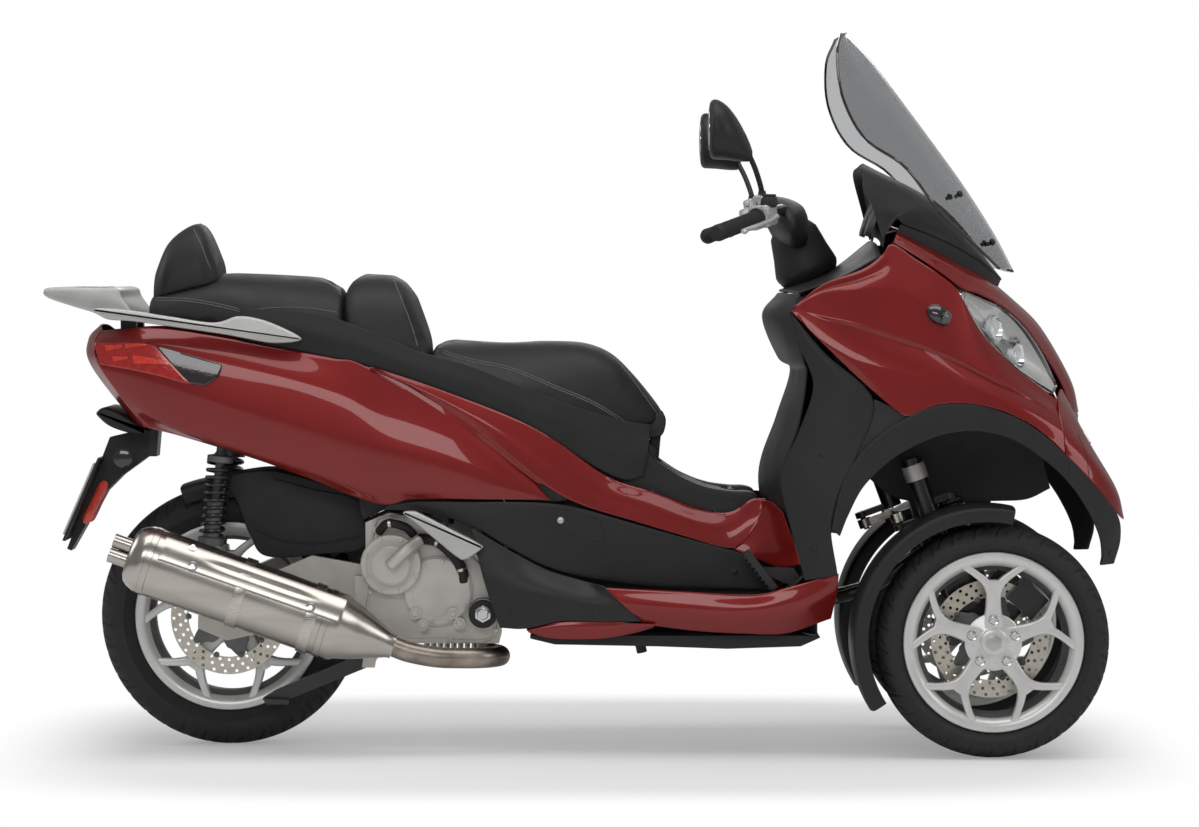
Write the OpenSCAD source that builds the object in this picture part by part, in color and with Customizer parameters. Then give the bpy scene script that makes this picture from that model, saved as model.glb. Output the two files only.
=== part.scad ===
// Three-wheel motor scooter: two steered front wheels, one driven rear wheel.
// +X points forward, +Y to the rider's left, +Z up. The origin is on the ground, at the middle of the length.

/* [Wheels] */
// Distance between the front and rear axles
wheelbase = 1561; // [1555:1:1565]
// Position of the rear axle along the length
rear_axle_x = -736; // [-738:1:-734]
// Distance between the middles of the front tyres
front_track = 465; // [463:1:467]
// Radius of the front tyres
front_tyre_r = 237; // [235:1:238]
// Width of the front tyres
front_tyre_w = 110; // [106:1:112]
// Radius of the rear tyre
rear_tyre_r = 270; // [268:1:271]
// Width of the rear tyre
rear_tyre_w = 140; // [134:1:142]
// Radius of the front rims over the flange
front_flange_r = 182; // [180:1:183]
// Radius of the rear rim over the flange
rear_flange_r = 195; // [193:1:196]

/* [Steering] */
// Backward lean of the steering axes in degrees
rake = 20; // [19:0.5:21]
// Where the axes of the knuckles meet the ground
knuckle_foot_x = 885; // [883:1:887]
// Where the axis of the handlebar meets the ground
stem_foot_x = 821; // [819:1:823]
// Distance of each knuckle axis from the middle plane
knuckle_y = 140; // [139:1:141]
// Length of the steering cranks
crank = 65; // [62:1:66]

/* [Bodywork] */
// Thickness of the moulded panels
panel_t = 4; // [3:0.5:5]
// Gap left between panels
seam = 2; // [1:0.5:3]
// Number of steps along a panel
panel_nu = 14; // [10:1:16]
// Number of steps across a panel
panel_nt = 6; // [4:1:8]

/* [Rear rack] */
// Distance between the rack's bolt holes along the length
rack_hole_dx = 60; // [50:1:70]
// Distance between the rack's bolt holes across the width
rack_hole_dy = 90; // [80:1:100]
// Radius of the rack's bolt holes
rack_hole_r = 3.3; // [3:0.1:3.5]

/* [Hidden] */
$fn = 48;
front_axle_x = rear_axle_x + wheelbase;
wheel_y = front_track / 2;
axle_r = 12.5;
running = 0.05;
seat_gap = 0.3;
RED = "firebrick";
BLACK = [0.13, 0.13, 0.14];
DARK = [0.2, 0.2, 0.21];
ALLOY = [0.72, 0.73, 0.74];
STEEL = [0.62, 0.6, 0.56];

// Curves and lofted shapes

// A smooth curve through the points of p, at the share s of its length
function spline(p, s) =
  let (
    n = len(p) - 1,
    k = min(floor(s * n), n - 1),
    f = s * n - k,
    b = p[k],
    c = p[k + 1],
    a = k > 0 ? p[k - 1] : 2 * b - c,
    d = k < n - 1 ? p[k + 2] : 2 * c - b
  )
  b + 0.5 * f * (c - a + f * (2 * a - 5 * b + 4 * c - d + f * (3 * (b - c) + d - a)));

// Points of the surface that passes through the rails, as rows along the length
function rail_grid(rails, nu, nt) =
  [for (i = [0:nu]) let (across = [for (r = rails) spline(r, i / nu)]) [for (j = [0:nt]) spline(across, j / nt)]];

// Unit normal of a grid at row i, column j
function grid_normal(g, i, j) =
  let (
    along = g[min(i + 1, len(g) - 1)][j] - g[max(i - 1, 0)][j],
    across = g[i][min(j + 1, len(g[0]) - 1)] - g[i][max(j - 1, 0)],
    n = cross(along, across)
  )
  n / norm(n);

// A rail of the other side of the vehicle
function mirrored(rail) = [for (p = rail) [p[0], -p[1], p[2]]];

// The rails of one half and of its mirror image, running from the right edge to the left
function across_both(half) = [for (r = half) concat(r, [for (k = [len(r) - 2:-1:0]) [r[k][0], -r[k][1], r[k][2]]])];

// A shell of even thickness: its outer face passes through the rails, lifted by rise
module rail_shell(rails, thick = panel_t, nu = panel_nu, nt = panel_nt, rise = 0) {
  facet_shell(rail_grid(rails, nu, nt), thick, rise);
}

// The shell over a grid of points
module facet_shell(g, thick, rise) {
  nu = len(g) - 1;
  nt = len(g[0]) - 1;
  w = nt + 1;
  count = (nu + 1) * w;
  normals = [for (i = [0:nu]) for (j = [0:nt]) grid_normal(g, i, j)];
  flat = [for (row = g) each row];
  outer = [for (k = [0:count - 1]) flat[k] + rise * normals[k]];
  inner = [for (k = [0:count - 1]) flat[k] + (rise - thick) * normals[k]];
  skins = [
    for (i = [0:nu - 1]) for (j = [0:nt - 1])
      let (a = i * w + j, b = a + w, c = b + 1, d = a + 1)
      each [[a, d, c], [a, c, b], [count + a, count + c, count + d], [count + a, count + b, count + c]]
  ];
  long_edges = [
    for (i = [0:nu - 1])
      let (a = i * w, b = a + w, c = a + nt, d = b + nt)
      each [[a, b, count + b], [a, count + b, count + a], [c, count + d, d], [c, count + c, count + d]]
  ];
  short_edges = [
    for (j = [0:nt - 1])
      let (a = j, b = j + 1, c = nu * w + j, d = c + 1)
      each [[a, count + b, b], [a, count + a, count + b], [c, d, count + d], [c, count + d, count + c]]
  ];
  polyhedron(concat(outer, inner), concat(skins, long_edges, short_edges), convexity = 8);
}

// A lens that lies on the cells i0..i1 by j0..j1 of a panel's grid
module panel_patch(rails, nu, nt, i0, i1, j0, j1, thick) {
  g = rail_grid(rails, nu, nt);
  facet_shell([for (i = [i0:i1]) [for (j = [j0:j1]) g[i][j]]], thick, thick);
}

// A stay that carries a panel: a cone square to the inner face at row i, column j, and a rod from it to a point
module stay(rails, nu, nt, i, j, to, r = 7, thick = panel_t) {
  g = rail_grid(rails, nu, nt);
  n = grid_normal(g, i, j);
  face = g[i][j] - (thick + 0.4) * n;
  rod(face - 17 * n, face, 9, 3);
  rod(face - 14 * n, to, r);
}

// A closed body through rings of points that lie across the length
module ring_loft(rings) {
  n = len(rings[0]);
  m = len(rings);
  sides = [
    for (i = [0:m - 2]) for (k = [0:n - 1])
      let (a = i * n + k, d = i * n + (k + 1) % n, b = a + n, c = d + n)
      each [[a, b, c], [a, c, d]]
  ];
  ends = [[for (k = [0:n - 1]) k], [for (k = [n - 1:-1:0]) (m - 1) * n + k]];
  polyhedron([for (r = rings) each r], concat(sides, ends), convexity = 6);
}

// A ring with a flat bottom and a crowned top, from the lowest and highest points and the half width
function crowned(x, low, high, half, steps = 14, square = 2.6) =
  [for (k = [0:steps])
    let (a = 180 * k / steps)
    [x, half * sign(cos(a)) * pow(abs(cos(a)), 2 / square), low + (high - low) * pow(abs(sin(a)), 2 / square)]];

// An oval ring about a centre
function oval(x, y, z, half_y, half_z, steps = 16) =
  [for (k = [0:steps - 1]) [x, y + half_y * cos(360 * k / steps), z + half_z * sin(360 * k / steps)]];

// Puts the same thing on the right and on the left
module both_sides() {
  children();
  mirror([0, 1, 0]) children();
}

// Extrudes an outline drawn in x and z, from one y to another
module side_plate(points, y0, y1) {
  translate([0, max(y0, y1), 0]) rotate([90, 0, 0]) linear_extrude(abs(y1 - y0)) polygon(points);
}

// A straight tube between two points
module rod(a, b, r, tip = 0) {
  v = b - a;
  translate(a) rotate([0, acos(v[2] / norm(v)), atan2(v[1], v[0])]) cylinder(h = norm(v), r1 = r, r2 = tip > 0 ? tip : r);
}

// A bent tube along a smooth curve through the points; side is a direction that the curve never takes
module tube(points, r, side = [0, 1, 0], steps = 3, sides = 12) {
  n = steps * (len(points) - 1);
  path = [for (k = [0:n]) spline(points, k / n)];
  ring_loft([
    for (k = [0:n])
      let (
        way = path[min(k + 1, n)] - path[max(k - 1, 0)],
        t = way / norm(way),
        across = cross(t, side),
        a = across / norm(across),
        b = cross(t, a)
      )
      [for (j = [0:sides - 1]) path[k] + r * (cos(360 * j / sides) * a + sin(360 * j / sides) * b)]
  ]);
}

// A sleeve with the outline of a coil spring, standing on z = 0
module coil(count, pitch, r, wire) {
  wave = [for (k = [0:4 * count]) [r + wire * (k % 4 == 0 ? -1 : k % 4 == 2 ? 1 : 0.3), k * pitch / 4]];
  rotate_extrude() polygon(concat([[0, 0]], wave, [[0, count * pitch]]));
}

// A cylinder across the vehicle, from one y to another
module cross_pin(x, z, y0, y1, r) {
  translate([x, max(y0, y1), z]) rotate([90, 0, 0]) cylinder(h = abs(y1 - y0), r = r);
}

// The frame of a leaning steering axis: its z runs up the axis
module on_axis(foot_x, y) {
  translate([foot_x, y, 0]) rotate([0, -rake, 0]) children();
}

// Wheels

// Half of the tyre's outline: sidewall from the flange, then the round crown
function tyre_outline(r, w, flange_r, bead_r, rim_half) =
  let (
    wide_r = flange_r + 0.3 * (r - flange_r),
    crown = [for (k = [0:14]) let (a = 90 - 180 * k / 14)
      [wide_r + (r - wide_r) * pow(max(cos(a), 0), 0.8), w / 2 * sin(a)]]
  )
  concat([[bead_r, rim_half], [flange_r, rim_half]], crown, [[flange_r, -rim_half], [bead_r, -rim_half]]);

module tyre(r, w, flange_r, bead_r, rim_half) {
  color(BLACK) rotate([90, 0, 0]) rotate_extrude() polygon(tyre_outline(r, w, flange_r, bead_r, rim_half));
}

// One spoke: a trunk from the hub that forks into two arms to the rim
module forked_spoke(rim_r) {
  waist = 0.44 * rim_r;
  crotch = 0.72 * rim_r;
  end = rim_r + 3;
  spread = 0.36 * rim_r;
  polygon([
    [20, -25], [waist, -18], [crotch - 10, -24], [end, -spread - 7], [end, -spread + 6], [crotch + 2, -9],
    [crotch - 6, 0],
    [crotch + 2, 9], [end, spread - 6], [end, spread + 7], [crotch - 10, 24], [waist, 18], [20, 25]
  ]);
}

// Cast wheel with five forked spokes, and its drilled brake disc on the side that face points away from
module cast_wheel(flange_r, bead_r, rim_half, bore_r, hub_in, hub_out, disc_r, disc_y) {
  lip = 7;
  rim_in = bead_r - 8;
  spoke_t = 20;
  color(ALLOY) difference() {
    union() {
      rotate([90, 0, 0]) rotate_extrude() polygon([
        [rim_in, -rim_half - lip], [flange_r, -rim_half - lip], [flange_r, -rim_half], [bead_r, -rim_half],
        [bead_r, rim_half], [flange_r, rim_half], [flange_r, rim_half + lip], [rim_in, rim_half + lip]
      ]);
      for (k = [0:4]) rotate([0, 72 * k - 90, 0])
        translate([0, -rim_half + 14, 0]) rotate([90, 0, 0]) linear_extrude(spoke_t) forked_spoke(rim_in);
      cross_pin(0, 0, -hub_out, hub_in, 42);
      cross_pin(0, 0, disc_y - 2, disc_y + 2, disc_r);
    }
    cross_pin(0, 0, -hub_out - 1, hub_in + 1, bore_r);
    for (k = [0:9]) rotate([0, 36 * k, 0]) {
      cross_pin(disc_r - 12, 0, disc_y - 3, disc_y + 3, 4);
      rotate([0, 12, 0]) cross_pin(disc_r - 26, 0, disc_y - 3, disc_y + 3, 4);
      rotate([0, 24, 0]) cross_pin(disc_r - 38, 0, disc_y - 3, disc_y + 3, 4);
    }
    for (k = [0:4]) rotate([0, 72 * k - 54, 0]) cross_pin(62, 0, disc_y - 3, disc_y + 3, 12);
  }
}

module front_wheel() {
  cast_wheel(front_flange_r, 165, 38, axle_r + running, 38, 40, 120, 36);
}

module front_tyre() {
  tyre(front_tyre_r, front_tyre_w, front_flange_r, 165, 38);
}

// The front wheels' right-hand shape stands on the right, mirrored on the left
module front_place(side) {
  translate([front_axle_x, side * wheel_y, front_tyre_r]) mirror([0, side > 0 ? 1 : 0, 0]) children();
}

module rear_place() {
  translate([rear_axle_x, 0, rear_tyre_r]) children();
}

// Front suspension and steering

knuckle_low = 395;
knuckle_high = 640;
arm_low = 430;
arm_high = 610;
crank_h = 535;
tube_r = 20;
ring_r = 24;
spring_x = 54;

// Steering knuckle of the right wheel: tube, leg, stub axle, spring unit, crank and brake caliper
module knuckle() {
  leg_out = wheel_y - front_tyre_w / 2 - knuckle_y - 8;
  axle = [(front_axle_x - knuckle_foot_x) * cos(rake) + front_tyre_r * sin(rake),
          (knuckle_foot_x - front_axle_x) * sin(rake) + front_tyre_r * cos(rake)];
  color(DARK) on_axis(knuckle_foot_x, -knuckle_y) {
    translate([0, 0, knuckle_low]) cylinder(h = knuckle_high - knuckle_low, r = tube_r);
    side_plate([[axle[0] - 26, axle[1] - 8], [axle[0] + 26, axle[1] - 4], [34, knuckle_low - 40],
        [tube_r, knuckle_low + 12],
                [-tube_r, knuckle_low + 12], [-24, knuckle_low - 40]], -leg_out, 0);
    cross_pin(axle[0], axle[1], -leg_out, 4, 32);
    cross_pin(axle[0], axle[1], -leg_out, -(wheel_y - knuckle_y + 36), axle_r);
    // spring unit in front of the tube
    translate([spring_x, 0, knuckle_low - 40]) cylinder(h = 190, r = 11);
    translate([spring_x, 0, knuckle_low - 7]) coil(7, 20, 17, 4);
    translate([spring_x, 0, knuckle_low - 12]) cylinder(h = 5, r = 22);
    translate([spring_x, 0, knuckle_low + 133]) cylinder(h = 5, r = 22);
    translate([0, -9, knuckle_low + 140]) cube([spring_x, 18, 14]);
    translate([-10, -9, knuckle_low - 40]) cube([spring_x + 10, 18, 20]);
    // steering crank, with its pin upwards
    translate([-crank, -12, crank_h - 26]) cube([crank, 24, 12]);
    translate([-crank, 0, crank_h - 26]) cylinder(h = 12, r = 14);
    translate([-crank, 0, crank_h - 14]) cylinder(h = 26, r = 6);
  }
  // brake caliper over the disc
  disc_y = -wheel_y + 36;
  color(DARK) difference() {
    translate([front_axle_x, 0, front_tyre_r]) rotate([0, -48, 0]) {
      translate([84, disc_y - 22, -34]) cube([54, 44, 68]);
      translate([20, -knuckle_y - leg_out, -16]) cube([84, 10, 32]);
      translate([84, disc_y + 20, -20]) cube([30, -knuckle_y - leg_out + 10 - disc_y - 20, 40]);
    }
    cross_pin(front_axle_x, front_tyre_r, disc_y - 7, disc_y + 7, 127);
  }
}

// Mudguard over a front wheel, carried by the leg of the knuckle
module front_mudguard() {
  r = front_tyre_r + 36;
  half = front_tyre_w / 2 + 9;
  centre = [front_axle_x - 16, -wheel_y, front_tyre_r + 6];
  color(BLACK) {
    translate(centre) rotate([90, 0, 0]) rotate_extrude(start = 78, angle = 134) polygon([
      [r - 34, -half], [r - 10, -half - 3], [r - 2, -half * 0.7], [r, 0], [r - 2, half * 0.7], [r - 10, half + 3],
      [r - 34, half],
      [r - 34, half - 3], [r - 12, half - 1], [r - 5, half * 0.66], [r - 3, 0], [r - 5, -half * 0.66],
      [r - 12, -half + 1],
      [r - 34, -half + 3]
    ]);
    // stay on the outer face of the knuckle's leg
    leg_face = -(wheel_y - front_tyre_w / 2 - 8);
    side_plate([[742, 344], [770, 352], [766, 374], [668, 452], [643, 428]], leg_face - 3, leg_face);
  }
}

// Arms between the middle pillar and the knuckles, with the rings that the knuckles turn in
module suspension_arms() {
  color(ALLOY) both_sides() on_axis(knuckle_foot_x, 0)
    for (h = [arm_low, arm_high]) difference() {
      union() {
        translate([-14, -knuckle_y, h - 14]) cube([28, knuckle_y - 32, 28]);
        translate([0, -knuckle_y, h - 16]) cylinder(h = 32, r = ring_r);
      }
      translate([0, -knuckle_y, h - 17]) cylinder(h = 34, r = tube_r + running);
    }
}

// Link between the three steering cranks
module tie_rod() {
  stem_offset = (stem_foot_x - knuckle_foot_x) * cos(rake);
  eyes = [[-crank, -knuckle_y], [-crank, knuckle_y], [stem_offset - crank, 0]];
  color(STEEL) on_axis(knuckle_foot_x, 0) difference() {
    union() {
      rod([-crank, -knuckle_y, crank_h], [-crank, knuckle_y, crank_h], 8);
      translate([stem_offset - crank, -10, crank_h - 7]) cube([-stem_offset, 20, 14]);
      for (e = eyes) translate([e[0], e[1], crank_h - 9]) cylinder(h = 18, r = 14);
    }
    for (e = eyes) translate([e[0], e[1], crank_h - 20]) cylinder(h = 40, r = 6.5);
  }
}

// Frame

// Pillar that carries the suspension arms, head tube and the struts between them
module frame_front() {
  color(BLACK) {
    on_axis(knuckle_foot_x, 0) translate([-26, -32, 390]) cube([52, 64, 270]);
    on_axis(stem_foot_x, 0) difference() {
      union() {
        translate([0, 0, 760]) cylinder(h = 150, r = 32);
        translate([-20, -60, 770]) cube([40, 120, 40]);
      }
      translate([0, 0, 700]) cylinder(h = 300, r = tube_r + running);
    }
    both_sides() {
      tube([[548, -50, 742], [620, -50, 690], [660, -26, 620]], 12);
      tube([[540, -52, 742], [475, -92, 560], [452, -95, 400], [446, -95, 310]], 13);
      tube([[700, -18, 400], [610, -22, 335], [520, -36, 306], [470, -84, 300], [438, -95, 300]], 13, [0, 0, 1]);
      translate([430, -116, 276]) cube([14, 42, 52]);
      // stays of the fairing, wing, arch, nose, lamp, dash and leg shield
      stay(fairing_rails, 20, 8, 8, 3, [558, -54, 742]);
      stay(fairing_rails, 20, 8, 12, 4, [594, -50, 710]);
      stay(wing_rails, 14, 4, 7, 2, [502, -76, 640]);
      stay(arch_rails, 22, 2, 5, 1, [501, -77, 636], thick = arch_t);
      stay(liner_rails, 14, 6, 4, 1, [600, -50, 705], thick = liner_t);
      stay(nose_rails, 14, 10, 8, 3, nose_foot, 8);
      stay(nose_rails, 14, 10, 3, 2, [700, -63.3, 811.5]);
      stay(lamp_rails, 10, 6, 5, 3, [806, -72.1, 866.5]);
      stay(beak_rails, 24, 6, 8, 5, [790, -70.8, 858.2]);
      stay(dash_rails, 10, 6, 3, 3, [516, -30, 840]);
      stay(shield_rails, 8, 12, 6, 8, [530, -58, 735]);
      stay(shield_rails, 8, 12, 6, 3, [494, -80, 612]);
    }
  }
}

nose_foot = [560, -52, 742];

// Cradle under the footboards
module frame_lower() {
  color(BLACK) both_sides() {
    tube([[424, -95, 300], [404, -95, 294], [370, -95, 264], [340, -95, 262], [-80, -95, 262], [-125, -95, 266],
        [-150, -95, 290]], 14);
    translate([416, -116, 276]) cube([14, 42, 52]);
    translate([-175, -116, 274]) cube([36, 42, 56]);
    for (x = [60, 260]) translate([x, -232, 258]) cube([30, 128, 8]);
    // posts of the footboard, pads of the belly pan, post of the tunnel
    translate([68, -226, 262]) cube([14, 26, 59.6]);
    translate([268, -226, 262]) cube([14, 26, 55.9]);
    for (x = [-60, 200, 330]) translate([x, -106, 244]) cube([26, 22, 14]);
    side_plate([[190, 264], [210, 264], [210, 500.5], [190, 507.5]], -104, -86);
    // stays of the sill and the covers
    stay(sill_rails, 10, 6, 5, 1, [284, -200, 262]);
    stay(sill_rails, 10, 6, 2, 1, [84, -200, 262]);
    stay(cover_rails, 14, 4, 11, 2, [200, -98, 380]);
  }
}

// Rails under the saddle, from the cradle to the tail
module frame_rear() {
  color(BLACK) {
    both_sides() {
      translate([-172, -112, 330]) cube([30, 34, 10]);
      tube([[-157, -95, 338], [-156, -116, 380], [-158, -142, 440], [-190, -148, 500], [-300, -150, 522],
          [-430, -156, 548],
            [-580, -156, 593], [-740, -156, 645], [-830, -130, 672], [-900, -96, 690]], 12, [0.2, 1, 0.6]);
      // pins of the spring units, hangers of the pegs, posts of the rack
      cross_pin(-741, 640, -156, -112, 8);
      translate([-302, -160, 448]) cube([24, 14, 80]);
      rod([-892, -60, 690], [-940, -60, 872], 10);
      translate([-956, -72, 862]) cube([32, 24, 23]);
      // stays of the side panel, the covers and the tail
      stay(side_rails, panel_nu, 8, 2, 2, [-836, -127, 673]);
      stay(side_rails, panel_nu, 8, 5, 2, [-634, -156, 610]);
      stay(side_rails, panel_nu, 8, 8, 2, [-442, -156, 551], thick = panel_t + 0.6);
      stay(side_rails, panel_nu, 8, 11, 3, [-292, -150, 522]);
      stay(cover_rails, 14, 4, 5, 2, [-164, -144, 452]);
      stay(lower_rails, 8, 4, 2, 2, [-157, -112, 372]);
      stay(tail_rails, 8, 6, 2, 3, [-920, -60, 796], thick = panel_t + 0.6);
    }
    cross_pin(-890, 688, -98, 98, 10);
    // hanger of the plate carrier
    side_plate([[-900, 660], [-905, 600], [-888, 600], [-880, 690], [-896, 690]], -30, 30);
    // saddles that the bin rests on
    side_plate([[-510, 615], [-474, 605], [-474, 556], [-510, 556]], -146, 146);
    side_plate([[-240, 560], [-210, 555], [-210, 498], [-240, 498]], -146, 146);
  }
}

// Engine, rear arm and exhaust

module engine() {
  color(ALLOY) {
    side_plate([[-448, 222], [-448, 470], [-400, 490], [-330, 480], [-215, 400], [-175, 335], [-175, 222]], -140, 90);
    // transmission case down the left side to the rear axle
    side_plate([[-440, 470], [-230, 400], [-185, 300], [-215, 222], [-420, 222], [-720, 205], [-790, 230],
        [-805, 275], [-785, 325],
                [-735, 345]], 90, 165);
    // lug and pin of the left spring unit
    side_plate([[-792, 300], [-740, 320], [-752, 408], [-788, 408]], 90, 112);
    cross_pin(-770, 396, 112, 142, 8);
    // lugs and pin of the stand
    both_sides() side_plate([[-456, 172], [-430, 172], [-420, 232], [-448, 232]], -140, -128);
    cross_pin(-443, 188, -140, 140, 8);
    cross_pin(rear_axle_x, rear_tyre_r, 80, 165, 62);
    // round covers on the right: water pump and clutch side
    cross_pin(-395, 385, -140, -165, 62);
    cross_pin(-395, 385, -165, -178, 40);
    cross_pin(-300, 330, -140, -152, 70);
    for (p = [[-345, 285], [-268, 285], [-255, 265], [-330, 262]]) cross_pin(p[0], p[1], -140, -160, 12);
    cross_pin(-207, 285, -140, -170, 30);
  }
}

// Alloy arm that holds the right end of the rear axle
module swing_arm() {
  color(ALLOY) difference() {
    union() {
      side_plate([[-448, 260], [-448, 380], [-560, 400], [-700, 340], [-750, 412], [-790, 412], [-795, 250],
          [-736, 225], [-560, 262]],
                 -112, -90);
      cross_pin(-770, 396, -112, -142, 8);
      cross_pin(rear_axle_x, rear_tyre_r, -80, -118, 40);
      cross_pin(rear_axle_x, rear_tyre_r, -118, 80, axle_r);
      side_plate([[-470, 280], [-448, 280], [-448, 360], [-470, 360]], -140, -90);
    }
  }
}

muffler_back = [-898, -225, 404];
muffler_front = [-492, -225, 261];
muffler_long = norm(muffler_front - muffler_back);
muffler_way = (muffler_front - muffler_back) / muffler_long;

// Silencer with a hollow can, front cone and tailpipe along its own axis, and the pipe that leads to it
module exhaust() {
  long = muffler_long;
  start = muffler_front + 112 * muffler_way;
  color(STEEL) {
    translate(muffler_back) rotate([0, acos(muffler_way[2]), 0]) rotate_extrude() polygon([
      [22, -62], [25, -62], [25, -22], [48, -22], [60, -14], [66, 0], [68, 6], [70, 10], [70, long - 6],
      [66, long], [56, long + 30],
      [30, long + 92], [24, long + 104], [24, long + 112], [21.5, long + 112], [21.5, long + 103], [27, long + 91],
      [53, long + 29],
      [63, long - 1], [67, long - 7], [67, 10], [64, 2], [57, -12], [46, -19], [22, -19]
    ]);
    tube([start + muffler_way, start + 36 * muffler_way, [-300, -222, 202], [-250, -212, 199], [-205, -196, 198],
        [-174, -160, 198],
          [-182, -122, 198], [-206, -106, 202], [-208, -104, 212], [-208, -104, 220]], 21, [0.2, 0.9, 0.4], 3, 16);
  }
}

module rear_mudguard() {
  r = rear_tyre_r + 18;
  half = rear_tyre_w / 2 + 8;
  color(BLACK) rear_place() {
    rotate([90, 0, 0]) rotate_extrude(start = 30, angle = 80) polygon([
      [r - 40, -half], [r - 8, -half - 2], [r, -half * 0.7], [r + 2, 0], [r, half * 0.7], [r - 8, half + 2],
      [r - 40, half],
      [r - 40, half - 3], [r - 9, half - 2], [r - 3, half * 0.66], [r - 1, 0], [r - 3, -half * 0.66], [r - 9, -half + 2],
      [r - 40, -half + 3]
    ]);
  }
  color(BLACK) side_plate([[-490, 416], [-448, 404], [-448, 428], [-500, 440]], -40, 40);
  // skirts and roof in front, as far as the engine
  color(BLACK) {
    both_sides() side_plate([[-760, 556], [-655, 574], [-560, 552], [-515, 545], [-470, 545], [-452, 530], [-452, 412],
                             [-540, 400], [-655, 396], [-690, 440], [-722, 520]], -half - 6, -half + 0.5);
    side_plate([[-760, 556], [-655, 574], [-560, 552], [-515, 545], [-470, 545], [-470, 541], [-516, 541], [-561, 548],
                [-655, 570], [-758, 552]], -half - 3, half + 3);
  }
}

// Spring units between the rear rails and the rear arms
module rear_shocks() {
  top = [-741, -128, 640];
  foot = [-770, -128, 396];
  v = top - foot;
  color(BLACK) both_sides() translate(foot) rotate([0, atan2(v[0], v[2]), 0]) difference() {
    union() {
      cylinder(h = norm(v), r = 10);
      translate([0, 0, 28]) cylinder(h = 16, r = 27);
      translate([0, 0, 44]) coil(9, 17, 23, 4);
      translate([0, 0, 197]) cylinder(h = 16, r = 27);
      for (h = [0, norm(v)]) translate([0, 12, h]) rotate([90, 0, 0]) cylinder(h = 24, r = 16);
    }
    for (h = [0, norm(v)]) translate([0, 20, h]) rotate([90, 0, 0]) cylinder(h = 40, r = 8);
  }
}

// Bodywork, right half unless it crosses the middle

side_low = [[-900, -125, 665], [-820, -150, 646], [-680, -175, 605], [-560, -185, 563], [-420, -190, 512],
    [-345, -195, 522],
            [-200, -198, 522], [-70, -190, 520]];
side_crease = [[-945, -140, 722], [-850, -172, 675], [-700, -195, 625], [-570, -205, 590], [-440, -208, 552],
    [-352, -208, 545],
               [-202, -205, 548], [-76, -190, 524]];
side_mid = [[-985, -150, 785], [-870, -185, 760], [-715, -205, 715], [-585, -213, 678], [-462, -215, 642],
    [-375, -214, 622],
            [-218, -206, 588], [-80, -189, 529]];
side_shoulder = [[-1000, -135, 835], [-885, -172, 835], [-740, -192, 802], [-602, -202, 770], [-492, -204, 735],
    [-402, -203, 692],
                 [-240, -198, 634], [-86, -186, 537]];
side_top = [[-990, -100, 862], [-887, -140, 868], [-765, -158, 853], [-622, -166, 826], [-512, -172, 806],
    [-442, -175, 788],
            [-262, -185, 678], [-94, -182, 549]];

strip_low = [[-424, -175, 784], [-338, -179, 739], [-214, -186, 659], [-84, -187, 554], [-6, -184, 511], [100, -178, 478],
             [215, -170, 443], [290, -165, 422], [322, -163, 430], [352, -160, 470]];
strip_mid = [[-433, -178, 785], [-335, -183, 745], [-190, -186, 672], [-74, -183, 595], [20, -177, 538], [122, -169, 506],
             [226, -161, 470], [293, -157, 456], [334, -156, 474], [362, -155, 496]];
strip_top = [[-434, -176, 789], [-322, -176, 753], [-157, -170, 690], [-60, -164, 638], [45, -155, 565], [140, -146, 532],
             [235, -139, 497], [296, -137, 490], [341, -139, 516], [370, -141, 519]];

side_rails = [side_low, side_crease, side_mid, side_shoulder, side_top];

strip_rails = [strip_low, strip_mid, strip_top];

tail_low = [[-902, -122, 664], [-925, -70, 666], [-930, 0, 668]];
tail_mid = [[-988, -146, 785], [-1015, -80, 788], [-1022, 0, 790]];
tail_high = [[-1003, -130, 836], [-1022, -75, 842], [-1028, 0, 845]];
tail_top = [[-992, -96, 864], [-1000, -60, 872], [-1004, 0, 874]];
tail_rails = across_both([tail_top, tail_high, tail_mid, tail_low]);

// Panels beside and below the saddle, and the one across the tail
module side_panels() {
  color(RED) {
    both_sides() {
      rail_shell(side_rails, nt = 8);
      rail_shell(strip_rails, nt = 4);
    }
    rail_shell(tail_rails, nu = 8);
  }
}

cover_low = [[-405, -185, 500], [-330, -190, 495], [-233, -196, 470], [-154, -198, 425], [-75, -196, 385],
    [10, -190, 362],
             [140, -180, 344], [297, -170, 338], [375, -165, 336]];
cover_mid = [[-400, -188, 505], [-330, -195, 505], [-233, -200, 492], [-148, -200, 470], [-70, -196, 450], [5, -190, 432],
             [120, -181, 408], [260, -171, 380], [362, -164, 360]];
cover_top = [[-395, -190, 508], [-330, -196, 514], [-234, -198, 514], [-142, -198, 514], [-65, -195, 510], [0, -188, 498],
             [100, -181, 469], [215, -173, 437], [350, -163, 400]];

lower_low = [[-170, -215, 262], [-120, -230, 262], [-48, -240, 278], [30, -248, 278], [112, -252, 278]];
lower_mid = [[-200, -222, 350], [-140, -236, 345], [-65, -246, 335], [15, -254, 318], [75, -258, 312]];
lower_top = [[-228, -203, 462], [-150, -206, 416], [-75, -208, 378], [0, -222, 356], [38, -252, 346]];

cover_rails = [cover_low, cover_mid, cover_top];
lower_rails = [lower_low, lower_mid, lower_top];

module side_covers() {
  color(BLACK) both_sides() {
    rail_shell(cover_rails, nt = 4);
    rail_shell(lower_rails, nu = 8, nt = 4);
  }
}

sill_low = [[122, -238, 270], [220, -238, 258], [320, -236, 252], [410, -230, 252], [500, -215, 280]];
sill_mid = [[85, -262, 306], [200, -266, 298], [320, -268, 294], [420, -266, 306], [510, -248, 335]];
sill_top = [[44, -258, 345], [200, -260, 337], [340, -260, 331], [415, -262, 347], [512, -255, 372]];

sill_rails = [sill_low, sill_mid, sill_top];

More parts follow.
